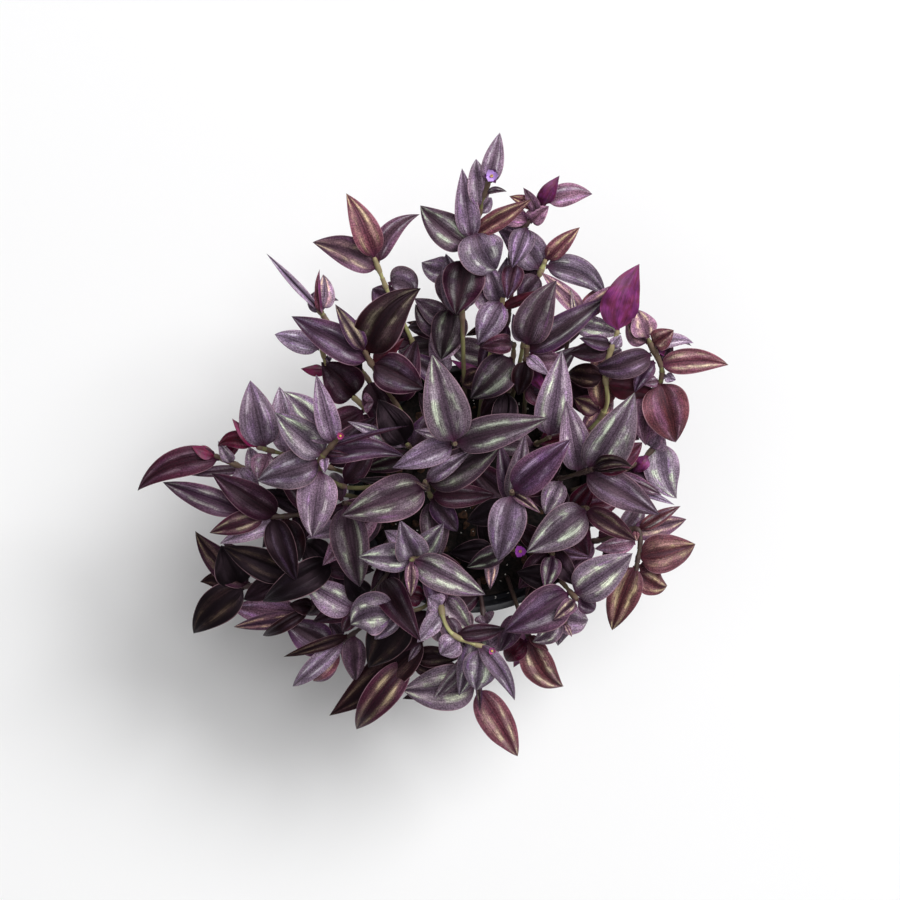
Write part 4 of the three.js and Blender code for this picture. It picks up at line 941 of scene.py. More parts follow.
def add_tube(surface, centres, radii, slot, seed, look=None):
    """A round closed tube along centres, all turned alike."""
    tangents = unit(np.gradient(centres, axis=0))
    frame = np.cross(tangents[0], SKEW)
    angles = np.arange(STEM_SECTIONS) * 2 * np.pi / STEM_SECTIONS
    rings = []
    for centre, tangent, radius in zip(centres, tangents, radii):
        frame = unit(frame - tangent * np.dot(frame, tangent))
        other = np.cross(tangent, frame)
        rings.append(centre + radius * (np.cos(angles)[:, None] * frame + np.sin(angles)[:, None] * other))
    last = (len(centres) - 1) * STEM_SECTIONS
    faces = []
    for ring in range(0, last, STEM_SECTIONS):
        for k in range(STEM_SECTIONS):
            a, b = ring + k, ring + (k + 1) % STEM_SECTIONS
            faces.append((a, b, b + STEM_SECTIONS, a + STEM_SECTIONS))
    faces.append(tuple(reversed(range(STEM_SECTIONS))))
    faces.append(tuple(range(last, last + STEM_SECTIONS)))
    places = place_grid(angles / np.pi - 1, lengths_along(centres)[:, None], seed).reshape(-1, 3)
    surface.add(np.concatenate(rings), faces, [slot] * len(faces), places, look)


def smooth_line(bends):
    """The smooth line through a course's bends, in short steps."""
    first = [bends[0] + (bends[1] - bends[0]) * share for share in np.arange(FOOT_STEPS) / FOOT_STEPS]
    rest = bends[1:]
    count = max(int((len(rest) - 1) * STEM_STEP / STEM_FINE_STEP), LEAST_STEPS)
    return np.array(first + [curve_point(rest, k / count) for k in range(count + 1)])


def add_stem(surface, course, seats, tone, chance):
    """A stem that swells at its nodes, with a dry sheath round each node. Its tone is a name of STEM_TONES."""
    line = smooth_line(course.bends)
    walked = lengths_along(line)
    radii = FINE_STEM * (STEM_BASE_RADIUS + (STEM_TIP_RADIUS - STEM_BASE_RADIUS) * (walked / walked[-1]))
    nodes = sorted({round(float(walked[np.argmin(np.linalg.norm(line - seat, axis=1))]), 1) for seat in seats})
    for node in nodes:
        radii = radii + NODE_SWELL * np.exp(-(((walked - node) / NODE_REACH) ** 2))
    radii[-2:] *= STEM_END
    seed = chance.uniform(0, 100)
    green, brown, sheath = (linear(colour) for colour in STEM_TONES[tone])
    look = {"inner": green, "outer": brown, "stripe": sheath, "under": brown, "rim": green, "strength": 0.0}
    add_tube(surface, line, radii, STEM, seed, look)
    last = -math.inf
    for node in nodes:
        if node - last < SHEATH_SPACING:
            continue
        last = node
        mouth = node + chance.uniform(*SHEATH_SPREAD) * SHEATH_REACH - SHEATH_BELOW
        steps = np.linspace(max(node - SHEATH_BELOW, 0.0), min(mouth, walked[-1]), SHEATH_RINGS)
        centres = np.column_stack([np.interp(steps, walked, line[:, axis]) for axis in range(3)])
        around = np.interp(steps, walked, radii) + np.linspace(*SHEATH_PLAY, SHEATH_RINGS)
        add_tube(surface, centres, around, SHEATH, chance.uniform(0, 100), look)


# Fillers: how far along its blade one starts to keep clear of what is round it, and by how much. The blades are
# compared as rough grids.
CLEAR_FROM = 0.25
BLADE_GAP = 0.8
ROUGH_ROWS = 9
ROUGH_COLUMNS = 5
# The places in each step of a stem where a filler may sit
SEAT_SHARES = np.linspace(0, 1, 13)


def filler_leaf(course, look, seat_x, seat_y, tip_x, tip_y, rise, width, *shape):
    """A small leaf whose seat is the point of the stem that the photograph shows nearest to a pixel."""
    best, seat = math.inf, None
    for start, end in zip(course.bends[1:], course.bends[2:]):
        for share in SEAT_SHARES:
            point = start + (end - start) * share
            distance = np.linalg.norm(seen(seat_x, seat_y, point[2]) - point)
            if distance < best:
                best, seat = distance, point
    height = seat[2] + rise
    return Leaf(look, seat, lambda more: seen(tip_x, tip_y, height + more), width, 0.0, *shape)


def rough_grid(leaf, start):
    """A blade's middle surface, from a place along it to its tip."""
    t = np.linspace(start, 1, ROUGH_ROWS)
    s = np.linspace(-1, 1, ROUGH_COLUMNS)
    centre, side, normal = leaf.frames(t)
    half = leaf.fine_half_width(t)[:, None]
    lateral = half * s * math.cos(leaf.fold)
    height = half * np.abs(s) * math.sin(leaf.fold)
    return centre[:, None] + side[:, None] * lateral[..., None] + normal[:, None] * height[..., None]


def rough_tree(grids):
    """Rough grids as one tree of faces, to find what crosses them."""
    faces = []
    for row in range(len(grids) * ROUGH_ROWS):
        if (row + 1) % ROUGH_ROWS:
            for a in range(row * ROUGH_COLUMNS, (row + 1) * ROUGH_COLUMNS - 1):
                faces.append((a, a + 1, a + ROUGH_COLUMNS + 1, a + ROUGH_COLUMNS))
    return BVHTree.FromPolygons(np.concatenate(grids).reshape(-1, 3).tolist(), faces)


def clear_bend(leaf, tree):
    """Bends a filler leaf so that it crosses the fewest blades."""
    fewest, best = math.inf, None
    for rise, arch in BENDS:
        leaf.bend(rise, arch)
        grid = rough_grid(leaf, CLEAR_FROM)
        crossed = sum(len(rough_tree([grid + lift * UP]).overlap(tree)) for lift in (-BLADE_GAP, BLADE_GAP))
        if crossed < fewest:
            fewest, best = crossed, (rise, arch)
        if crossed == 0:
            break
    leaf.bend(*best)


def vertex_tree(node):
    """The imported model's vertices of one node."""
    tree = KDTree(len(node.data.vertices))
    for k, vertex in enumerate(node.data.vertices):
        tree.insert(vertex.co, k)
    tree.balance()
    return tree


def grow_leaves(frame, courses):
    """Every shoot's leaves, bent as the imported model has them, then the fillers."""
    draw = make_draw(SEED)
    leaves = {}
    for k, (name, (_, table)) in enumerate(SHOOTS.items()):
        course = courses[name]
        grown = list(table_leaves(course, table))
        if np.linalg.norm(course.points[-1] - course.points[0]) > LOWER_LEAF_STEM:
            grown.append(lower_leaf(name, course, k * GOLDEN_ANGLE, draw))
        tree = vertex_tree(frame["nodes"][f"shoot_{name}"])
        leaves[name] = [leaf for leaf in grown if settle(leaf, tree)]
        for leaf, row in zip(grown, table):
            bulge, fullness, lift = TOUCHES.get((name, row[2], row[3]), (0.0, 1.0, 0.0))
            leaf.bow += bulge
            leaf.width *= fullness
            leaf.arch += lift
    for name, *row in FILLERS:
        tree = rough_tree([rough_grid(leaf, 0.0) for grown in leaves.values() for leaf in grown])
        leaf = filler_leaf(courses[name], *row)
        clear_bend(leaf, tree)
        leaves[name].append(leaf)
    return leaves


def leafy_piece(name, course, leaves, chance, materials):
    """One shoot: its leaves, then its stem and sheaths."""
    surface = Surface()
    for leaf in leaves:
        add_blade(surface, leaf, chance)
    tone = "green" if name in GREEN_STEMS else "dark" if name in DARK_STEMS else "olive"
    add_stem(surface, course, [leaf.seat for leaf in leaves], tone, chance)
    surface.make(f"leafy_{name}", materials, "foliage", f"shoot_{name}")


# Flowers
PETAL, CALYX, STAMEN, ANTHER = range(4)
PETAL_ROWS = 12
PETAL_COLUMNS = 9
PETAL_THICKNESS = 0.12
PETAL_EDGE = 0.02
PETAL_SLENDERNESS = 0.62
# A petal starts this share of its length away from the flower's middle
THROAT = 0.12
SEPAL = (84, 32, 84)
SEPAL_SLENDERNESS = 0.4
SEPAL_RISE = 0.7
SEPAL_DEPTH = 0.9
PETAL_LIFT = 0.15
# The calyx: its rings, the radius that it starts from, how much it swells, and which part of a sine it follows
CALYX_RINGS = 7
CALYX_RADIUS = 0.4
CALYX_SWELL = 0.9
CALYX_SPAN = (0.18, 0.72)
# How far the open petals lie below the top of the flower's box
FLOWER_DEPTH = 1.2
STAMENS = 6
STAMEN_LEAN = 0.16
STAMEN_HEIGHT = 1.7
STAMEN_RADIUS = 0.12
ANTHER_RADIUS = 0.34
ANTHER_LENGTH = (-0.28, 0.2)
ANTHER_RINGS = 5


def add_petal(surface, centre, top, heading, length, rise, look, slot=PETAL, slenderness=PETAL_SLENDERNESS):
    """A broad petal from the flower's throat outward, cupped and thin."""
    u = np.linspace(0, 1, PETAL_ROWS)[:, None]
    v = np.linspace(-1, 1, PETAL_COLUMNS)
    sideways = length * slenderness * np.sin(np.pi * (0.06 + 0.9 * u**0.85)) ** 0.75 * v
    cup = 0.10 * length * v**2 * np.sin(np.pi * u)
    height = rise * u**1.2 + cup + 0.03 * length * np.sin(9 * v + 4 * u)
    outward = length * (THROAT + (1 - THROAT) * u) - 0.12 * length * v**2 * u
    out = np.array([math.cos(heading), math.sin(heading), 0])
    turn = np.array([-math.sin(heading), math.cos(heading), 0])
    points = [*centre, top] + outward[..., None] * out + sideways[..., None] * turn + height[..., None] * UP
    thickness = np.full((PETAL_ROWS, PETAL_COLUMNS, 1), PETAL_THICKNESS)
    thickness[:, [0, -1]] = PETAL_EDGE
    thickness[[0, -1]] = PETAL_EDGE
    both = np.concatenate([(points + thickness * UP).reshape(-1, 3), (points - thickness * UP).reshape(-1, 3)])

    def at(i, j, lower=False):
        return i * PETAL_COLUMNS + j + (PETAL_ROWS * PETAL_COLUMNS if lower else 0)

    faces = []
    for i in range(PETAL_ROWS - 1):
        for j in range(PETAL_COLUMNS - 1):
            faces.append((at(i, j), at(i + 1, j), at(i + 1, j + 1), at(i, j + 1)))
            faces.append((at(i, j, True), at(i, j + 1, True), at(i + 1, j + 1, True), at(i + 1, j, True)))
    ring = [(0, j) for j in range(PETAL_COLUMNS)] + [(i, PETAL_COLUMNS - 1) for i in range(1, PETAL_ROWS)]
    ring += [(PETAL_ROWS - 1, j) for j in range(PETAL_COLUMNS - 2, -1, -1)]
    ring += [(i, 0) for i in range(PETAL_ROWS - 2, 0, -1)]
    for one, other in zip(ring, ring[1:] + ring[:1]):
        faces.append((at(*one), at(*other), at(*other, True), at(*one, True)))
    grid = place_grid(v, u, heading * 7).reshape(-1, 3)
    surface.add(both, faces, [slot] * len(faces), np.concatenate([grid, grid]), look)


def tinted(colour):
    """The colours of a petal or sepal, from its main colour."""
    shares = {"inner": 1.0, "outer": 0.8, "stripe": 1.2, "under": 0.7, "rim": 1.0}
    return {"strength": 0.5, **{name: colour * share for name, share in shares.items()}}


def flower_piece(name, length, rise, reach, colour, materials):
    """A flower: three petals, three sepals between them, the swollen calyx below and the stamens."""
    low, high = (np.array(corner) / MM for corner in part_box(name))
    centre = (low[:2] + high[:2]) / 2
    petal = tinted(linear(colour))
    sepal = tinted(linear(SEPAL))
    surface = Surface()
    top = high[2] - FLOWER_DEPTH - rise
    for k in range(3):
        turn = 2 * math.pi / 3
        add_petal(surface, centre, top + PETAL_LIFT, k * turn, length, rise, petal)
        add_petal(surface, centre, top - SEPAL_DEPTH, (k + 0.5) * turn, reach, SEPAL_RISE * rise, sepal, CALYX,
                  SEPAL_SLENDERNESS)
    heights = np.linspace(low[2], top + 0.4, CALYX_RINGS)
    radii = CALYX_RADIUS + CALYX_SWELL * np.sin(np.pi * np.linspace(*CALYX_SPAN, CALYX_RINGS))
    centres = np.array([[*centre, height] for height in heights])
    add_tube(surface, centres, radii, CALYX, 5.0, sepal)
    foot = np.array([*centre, top + 0.2])
    for k in range(STAMENS):
        heading = k * 2 * math.pi / STAMENS + 0.3
        lean = np.array([math.cos(heading), math.sin(heading), 0]) * length * STAMEN_LEAN
        line = foot + np.outer(np.linspace(0, 1, 4), lean + STAMEN_HEIGHT * UP)
        add_tube(surface, line, np.full(4, STAMEN_RADIUS), STAMEN, 3.0)
        ends = line[-1] + np.outer(np.linspace(*ANTHER_LENGTH, ANTHER_RINGS), UP)
        radii = ANTHER_RADIUS * np.sin(np.pi * np.linspace(0.12, 0.88, ANTHER_RINGS))
        add_tube(surface, ends, radii, ANTHER, 2.0)
    surface.make(f"fine_{name}", materials, "petals", name)


# Pot
POT_HEIGHT = 130.0
RIM_RADIUS = 75.0
LIP_WIDTH = 4.0
LIP_HEIGHT = 12.0
LIP_OVERHANG = 4.5
LIP_SLOPE = 1.5
BASE_RADIUS = 54.0
WALL = 1.8
POT_FLOOR = 3.0
DRAIN_HOLES = 4
DRAIN_HOLE_RADIUS = 4.5
DRAIN_CIRCLE_RADIUS = 38.0
DRAIN_HOLE_SECTIONS = 32
DRILL_LENGTH = 20.0
# How far below the lip's foot, and how far inside it, the wall ends
LIP_STEP = 2.0
WALL_TOP_RADIUS = RIM_RADIUS - LIP_OVERHANG - LIP_STEP
# How far inside the rim the lip starts, how far in and below it turns over, and how far its inside ends higher
LIP_FLARE = 2.0
LIP_TURN = (0.2, 1.6)
LIP_INSIDE = 1.0
# The foot ring under the pot: its height, and where its slope starts and ends inside the base
FOOT_HEIGHT = 1.2
FOOT_RING = (7.0, 5.0)
CORNER_ROUNDING = 0.9
ROUNDING_STEPS = 5
POT_SECTIONS = 168
POT_SHARP_ANGLE = 38.0


def rounded(profile):
    """A profile whose corners, apart from its two ends, are rounded off."""
    points = [np.array(point, float) for point in profile]
    result = [points[0]]
    for before, corner, after in zip(points, points[1:], points[2:]):
        to_before, to_after = before - corner, after - corner
        cut = min(CORNER_ROUNDING, 0.4 * np.linalg.norm(to_before), 0.4 * np.linalg.norm(to_after))
        start, end = corner + unit(to_before) * cut, corner + unit(to_after) * cut
        for share in np.linspace(0, 1, ROUNDING_STEPS):
            result.append((1 - share) ** 2 * start + 2 * share * (1 - share) * corner + share**2 * end)
    result.append(points[-1])
    return result


def turned_faces(rings, sections):
    """The faces of a closed turned mesh. Its points are its two ends on the axis, and then its rings."""
    last = 2 + (rings - 1) * sections
    faces = []
    for k in range(sections):
        after = (k + 1) % sections
        faces.append((0, 2 + after, 2 + k))
        faces.append((1, last + k, last + after))
        for near in range(2, last, sections):
            far = near + sections
            faces.append((near + k, near + after, far + after, far + k))
    return faces


def plain_piece(name, points, faces, material):
    """A piece of one material."""
    mesh = bpy.data.meshes.new(name)
    mesh.from_pydata((np.asarray(points) * MM).tolist(), [], faces)
    mesh.materials.append(material)
    return link_object(name, mesh)


def keep_modified(piece):
    """Applies a piece's modifiers to its mesh."""
    bpy.context.view_layer.update()
    graph = bpy.context.evaluated_depsgraph_get()
    mesh = bpy.data.meshes.new_from_object(piece.evaluated_get(graph))
    piece.modifiers.clear()
    piece.data = mesh


def pot_piece(material):
    """The turned pot, with its drain holes."""
    lip_foot = POT_HEIGHT - LIP_HEIGHT
    wall_top = lip_foot - LIP_STEP
    profile = rounded([
        (0, FOOT_HEIGHT),
        (BASE_RADIUS - FOOT_RING[0], FOOT_HEIGHT),
        (BASE_RADIUS - FOOT_RING[1], 0),
        (BASE_RADIUS, 0),
        (WALL_TOP_RADIUS, wall_top),
        (RIM_RADIUS - LIP_FLARE, lip_foot),
        (RIM_RADIUS - LIP_TURN[0], POT_HEIGHT - LIP_TURN[1]),
        (RIM_RADIUS, POT_HEIGHT),
        (RIM_RADIUS - LIP_WIDTH, POT_HEIGHT),
        (RIM_RADIUS - LIP_WIDTH - LIP_SLOPE, lip_foot + LIP_INSIDE),
        (WALL_TOP_RADIUS - WALL, wall_top),
        (BASE_RADIUS - WALL, POT_FLOOR),
        (0, POT_FLOOR),
    ])
    angles = np.arange(POT_SECTIONS) * 2 * np.pi / POT_SECTIONS
    points = [[0, 0, profile[0][1]], [0, 0, profile[-1][1]]]
    for radius, height in profile[1:-1]:
        points.extend([radius * math.cos(angle), radius * math.sin(angle), height] for angle in angles)
    pot = plain_piece("nursery_pot", points, turned_faces(len(profile) - 2, POT_SECTIONS), material)
    drills = []
    for k in range(DRAIN_HOLES):
        angle = 2 * math.pi * k / DRAIN_HOLES
        x, y = DRAIN_CIRCLE_RADIUS * math.cos(angle), DRAIN_CIRCLE_RADIUS * math.sin(angle)
        bpy.ops.mesh.primitive_cylinder_add(
            vertices=DRAIN_HOLE_SECTIONS, radius=DRAIN_HOLE_RADIUS * MM, depth=DRILL_LENGTH * MM,
            location=(x * MM, y * MM, 0),
        )
        drills.append(bpy.context.object)
        cut = pot.modifiers.new("drain_hole", "BOOLEAN")
        cut.operation = "DIFFERENCE"
        cut.solver = "EXACT"
        cut.object = drills[-1]
    keep_modified(pot)
    for drill in drills:
        bpy.data.objects.remove(drill)
    smooth(pot, POT_SHARP_ANGLE)
    place_piece(pot, "pot", "pot")


# Soil, with its perlite and bark
SOIL_EDGE_LEVEL = 116.3
SOIL_BUMP = 1.3
# The gaps round the soil and under it
SOIL_GAP = 0.6
SOIL_LIFT = 0.3
# Within this radius the soil isn't drawn down to the level of its edge
SOIL_FLAT_RADIUS = 54.0
SOIL_SECTIONS = 220
SOIL_RING_COUNT = 84
# Rings lie closer together toward the edge
RING_CROWDING = 0.85
SOIL_SHARP_ANGLE = 50.0
# Small clods: the turn, pitch and height of each wave
CLODS = ((0.4, 0.9, 0.55), (1.3, 1.7, 0.45), (2.2, 2.9, 0.3), (0.9, 4.7, 0.2), (2.8, 7.1, 0.12))
CLOD_DEPTH = 0.8
# The clods fade to a share of their height over this width at the edge
CLOD_FADE = 1.5
CLOD_LEAST = 0.15
PERLITE_COUNT = 70
BARK_COUNT = 120
# Size in millimetres, and how flat it lies
PERLITE = ((0.5, 1.4), 0.7)
BARK = ((2.0, 6.5), 0.32)
SCATTER_RADIUS = 58.0
CRUMB_ROUGHNESS = 0.28
CRUMB_SLENDERNESS = (0.6, 1)
# How much of its thickness a lump's middle lies above the soil
CRUMB_RISE = 0.12
CRUMB_SHARP_ANGLE = 40.0
# Where the photograph shows perlite, in pixels
PERLITE_PATCHES = ((480, 406), (487, 402), (518, 404), (526, 408), (500, 580), (508, 592), (497, 597), (474, 402))


def soil_height(x, y):
    """The soil's level without its clods."""
    broad = np.sin(0.11 * x + 0.4) * np.cos(0.09 * y - 0.7)
    fine = np.sin(0.31 * x - 0.23 * y) * np.cos(0.27 * x + 0.35 * y)
    return SOIL_LEVEL + SOIL_BUMP * (0.7 * broad + 0.5 * fine)


def clods(x, y):
    """Small clods on the soil: a sum of turned waves, sharpened upward."""
    total = 0.0
    for k, (angle, pitch, amount) in enumerate(CLODS):
        along = x * math.cos(angle) + y * math.sin(angle)
        over = -x * math.sin(angle) + y * math.cos(angle)
        total = total + amount * np.abs(np.sin(along * pitch + k) * np.cos(over * pitch * 1.13 + 2 * k))
    return total


def soil_piece(material):
    """The body of soil that fills the pot."""
    bottom = POT_FLOOR + SOIL_LIFT
    edge = WALL_TOP_RADIUS - WALL - SOIL_GAP
    angles = np.arange(SOIL_SECTIONS) * 2 * np.pi / SOIL_SECTIONS
    radii = edge * np.linspace(1, 0, SOIL_RING_COUNT + 1)[:-1] ** RING_CROWDING
    x, y = radii[:, None] * np.cos(angles), radii[:, None] * np.sin(angles)
    inward = np.clip((edge - radii) / (edge - SOIL_FLAT_RADIUS), 0, 1)[:, None]
    height = SOIL_EDGE_LEVEL + (soil_height(x, y) - SOIL_EDGE_LEVEL) * inward
    height = height + (clods(x, y) - CLOD_DEPTH) * np.clip((edge - radii) / CLOD_FADE, CLOD_LEAST, 1)[:, None]
    foot_radius = BASE_RADIUS - WALL - SOIL_GAP
    foot = [[foot_radius * math.cos(angle), foot_radius * math.sin(angle), bottom] for angle in angles]
    ends = [[0, 0, bottom], [0, 0, soil_height(0, 0) + clods(0, 0) - CLOD_DEPTH]]
    points = np.concatenate([ends, foot, np.dstack([x, y, height]).reshape(-1, 3)])
    soil = plain_piece("potting_soil", points, turned_faces(SOIL_RING_COUNT + 1, SOIL_SECTIONS), material)
    smooth(soil, SOIL_SHARP_ANGLE)
    place_piece(soil, "soil", "soil")


def crumb_piece(name, spots, spread, flatness, material, chance):
    """Many small rough lumps that lie in the soil's surface, as one piece."""
    bpy.ops.mesh.primitive_ico_sphere_add(subdivisions=2, radius=1, location=(0, 0, 0))
    sphere = bpy.context.object
    ball = np.array([vertex.co for vertex in sphere.data.vertices])
    ball_faces = [tuple(polygon.vertices) for polygon in sphere.data.polygons]
    bpy.data.objects.remove(sphere)
    points, faces = [], []
    for (x, y), size in zip(spots, chance.uniform(*spread, len(spots))):
        rough = np.sin(ball @ chance.uniform(-3, 3, (3, 3)) + chance.uniform(0, 6, 3))
        lump = ball * (1 + CRUMB_ROUGHNESS * rough) * size / 2 * [1, chance.uniform(*CRUMB_SLENDERNESS), flatness]
        turn = chance.uniform(0, 2 * np.pi)
        spin = np.array([[math.cos(turn), -math.sin(turn), 0], [math.sin(turn), math.cos(turn), 0], [0, 0, 1]])
        level = soil_height(x, y) + clods(x, y) - CLOD_DEPTH
        base = len(points) * len(ball)
        points.append(lump @ spin.T + np.array([x, y, level + size * flatness * CRUMB_RISE]))
        faces.extend([tuple(base + k for k in face) for face in ball_faces])
    piece = plain_piece(name, np.concatenate(points), faces, material)
    smooth(piece, CRUMB_SHARP_ANGLE)
    place_piece(piece, "soil")


def scatter(count, chance):
    """Places spread evenly over the soil."""
    turns = chance.uniform(0, 2 * np.pi, count)
    reach = SCATTER_RADIUS * np.sqrt(chance.uniform(0, 1, count))
    return list(zip(reach * np.cos(turns), reach * np.sin(turns)))


# Materials
SOCKETS = {"color": "Base Color", "specular": "Specular IOR Level"}
# The tint of the painted violet glints, a painted sheen on the ground
PAINTED_GLINT_TINT = (1.7, 1.12, 2.1)
# Heights in metres between which the stems turn from painted shade to green; the painted shade darkens them toward
# the soil
STEM_PAINTED_SHADE = (0.13, 0.158)
GLOSS_TINT = (1.0, 0.66, 0.86)
BASE_SHADE = (0.5, 0.5, 0.5)
STRIPE_PLACE = 0.46
# The tint of the violet patches on the stripes, which are painted sheen
STRIPE_PAINTED_SHEEN = (0.92, 0.66, 1.05)
# Mottled matt materials: two screen colours, scale, roughness, strength and depth in metres of the bumps
SPECKS = {
    "stamen": ((168, 150, 176), (214, 200, 220), 900.0, 0.5, 0.2, 0.0001),
    "anther": ((200, 160, 60), (236, 206, 110), 900.0, 0.6, 0.3, 0.0001),
    "soil": ((12, 10, 10), (38, 30, 27), 260.0, 0.88, 0.9, 0.0012),
    "perlite": ((190, 186, 178), (236, 234, 228), 700.0, 0.85, 0.6, 0.0004),
    "bark": ((40, 26, 20), (86, 60, 44), 420.0, 0.8, 0.7, 0.0005),
}


class Shader:
    """One material's nodes."""

    def __init__(self, name):
        self.material = bpy.data.materials.new(name)
        self.material.use_nodes = True
        self.nodes = self.material.node_tree.nodes
        self.links = self.material.node_tree.links
        self.surface = self.nodes["Principled BSDF"]

    def put(self, socket, value):
        """Links a socket to another node's output, or gives it a value."""
        if isinstance(value, bpy.types.NodeSocket):
            self.links.new(value, socket)
        elif isinstance(value, (tuple, list, np.ndarray)):
            size = len(socket.default_value)
            socket.default_value = tuple(value)[:size] + (1.0,) * (size - len(value))
        else:
            socket.default_value = value

    def make(self, kind, output=0, options=None, **values):
        """A new node's output. Its inputs go by name, or by number as i0, i1 and so on."""
        node = self.nodes.new(kind)
        for key, value in (options or {}).items():
            setattr(node, key, value)
        for key, value in values.items():
            self.put(node.inputs[int(key[1:]) if key[1:].isdigit() else key.replace("_", " ").title()], value)
        return node.outputs[output]

    def set(self, **values):
        """Sets inputs of the material's surface."""
        for key, value in values.items():
            self.put(self.surface.inputs[SOCKETS.get(key, key.replace("_", " ").title())], value)

    def math(self, operation, a, b=0.0, c=0.0, clamp=False):
        options = {"operation": operation, "use_clamp": clamp}
        return self.make("ShaderNodeMath", options=options, i0=a, i1=b, i2=c)

    def times(self, a, b, clamp=False):
        return self.math("MULTIPLY", a, b, clamp=clamp)

    def step(self, value, low, high, start=0.0, end=1.0):
        """A smooth step from start to end as the value goes from low to high."""
        node = self.nodes.new("ShaderNodeMapRange")
        node.interpolation_type = "SMOOTHSTEP"
        for socket, given in zip(node.inputs, (value, low, high, start, end)):
            self.put(socket, given)
        return node.outputs[0]

    def mix(self, factor, a, b, blend="MIX"):
        node = self.nodes.new("ShaderNodeMix")
        node.data_type = "RGBA"
        node.blend_type = blend
        self.put(node.inputs["Factor"], factor)
        self.put(node.inputs[6], a)
        self.put(node.inputs[7], b)
        return node.outputs[2]

    def tint(self, colour, factor):
        """A colour times another colour or a brightness."""
        return self.mix(1.0, colour, factor, "MULTIPLY")

    def noise(self, vector, scale, detail=2.0, roughness=0.5):
        return self.make("ShaderNodeTexNoise", vector=vector, scale=scale, detail=detail, roughness=roughness)

    def vector(self, x, y, z):
        return self.make("ShaderNodeCombineXYZ", x=x, y=y, z=z)

    def position(self):
        """The object's own coordinates, in metres."""
        return self.make("ShaderNodeTexCoord", output=3)

    def attribute(self, name, output="Color"):
        node = self.nodes.new("ShaderNodeAttribute")
        node.attribute_name = name
        return node.outputs[output]

    def split(self, vector):
        parts = self.nodes.new("ShaderNodeSeparateXYZ")
        self.put(parts.inputs[0], vector)
        return tuple(parts.outputs)

    def place(self):
        """A point's place across and along its blade or stem, and the blade's or stem's own number."""
        return self.split(self.attribute("place", "Vector"))

    def pattern(self, place, wide, far, detail, scale=1.0, roughness=0.5, offset=0.0):
        """Noise that is stretched along a blade or stem."""
        across, along, number = place
        stretched = self.vector(self.times(across, wide), self.math("MULTIPLY_ADD", along, far, offset), number)
        return self.noise(stretched, scale, detail, roughness)

    def painted_shade_below(self, colour, shadow, strength):
        """A stem's colour, darkened toward the soil with painted shade."""
        height = self.split(self.position())[2]
        return self.mix(self.step(height, *STEM_PAINTED_SHADE, strength, 0.0), colour, linear(shadow))

    def bump(self, height, strength, distance, normal=None):
        node = self.nodes.new("ShaderNodeBump")
        self.put(node.inputs["Height"], height)
        node.inputs["Strength"].default_value = strength
        node.inputs["Distance"].default_value = distance
        if normal is not None:
            self.put(node.inputs["Normal"], normal)
        return node.outputs[0]


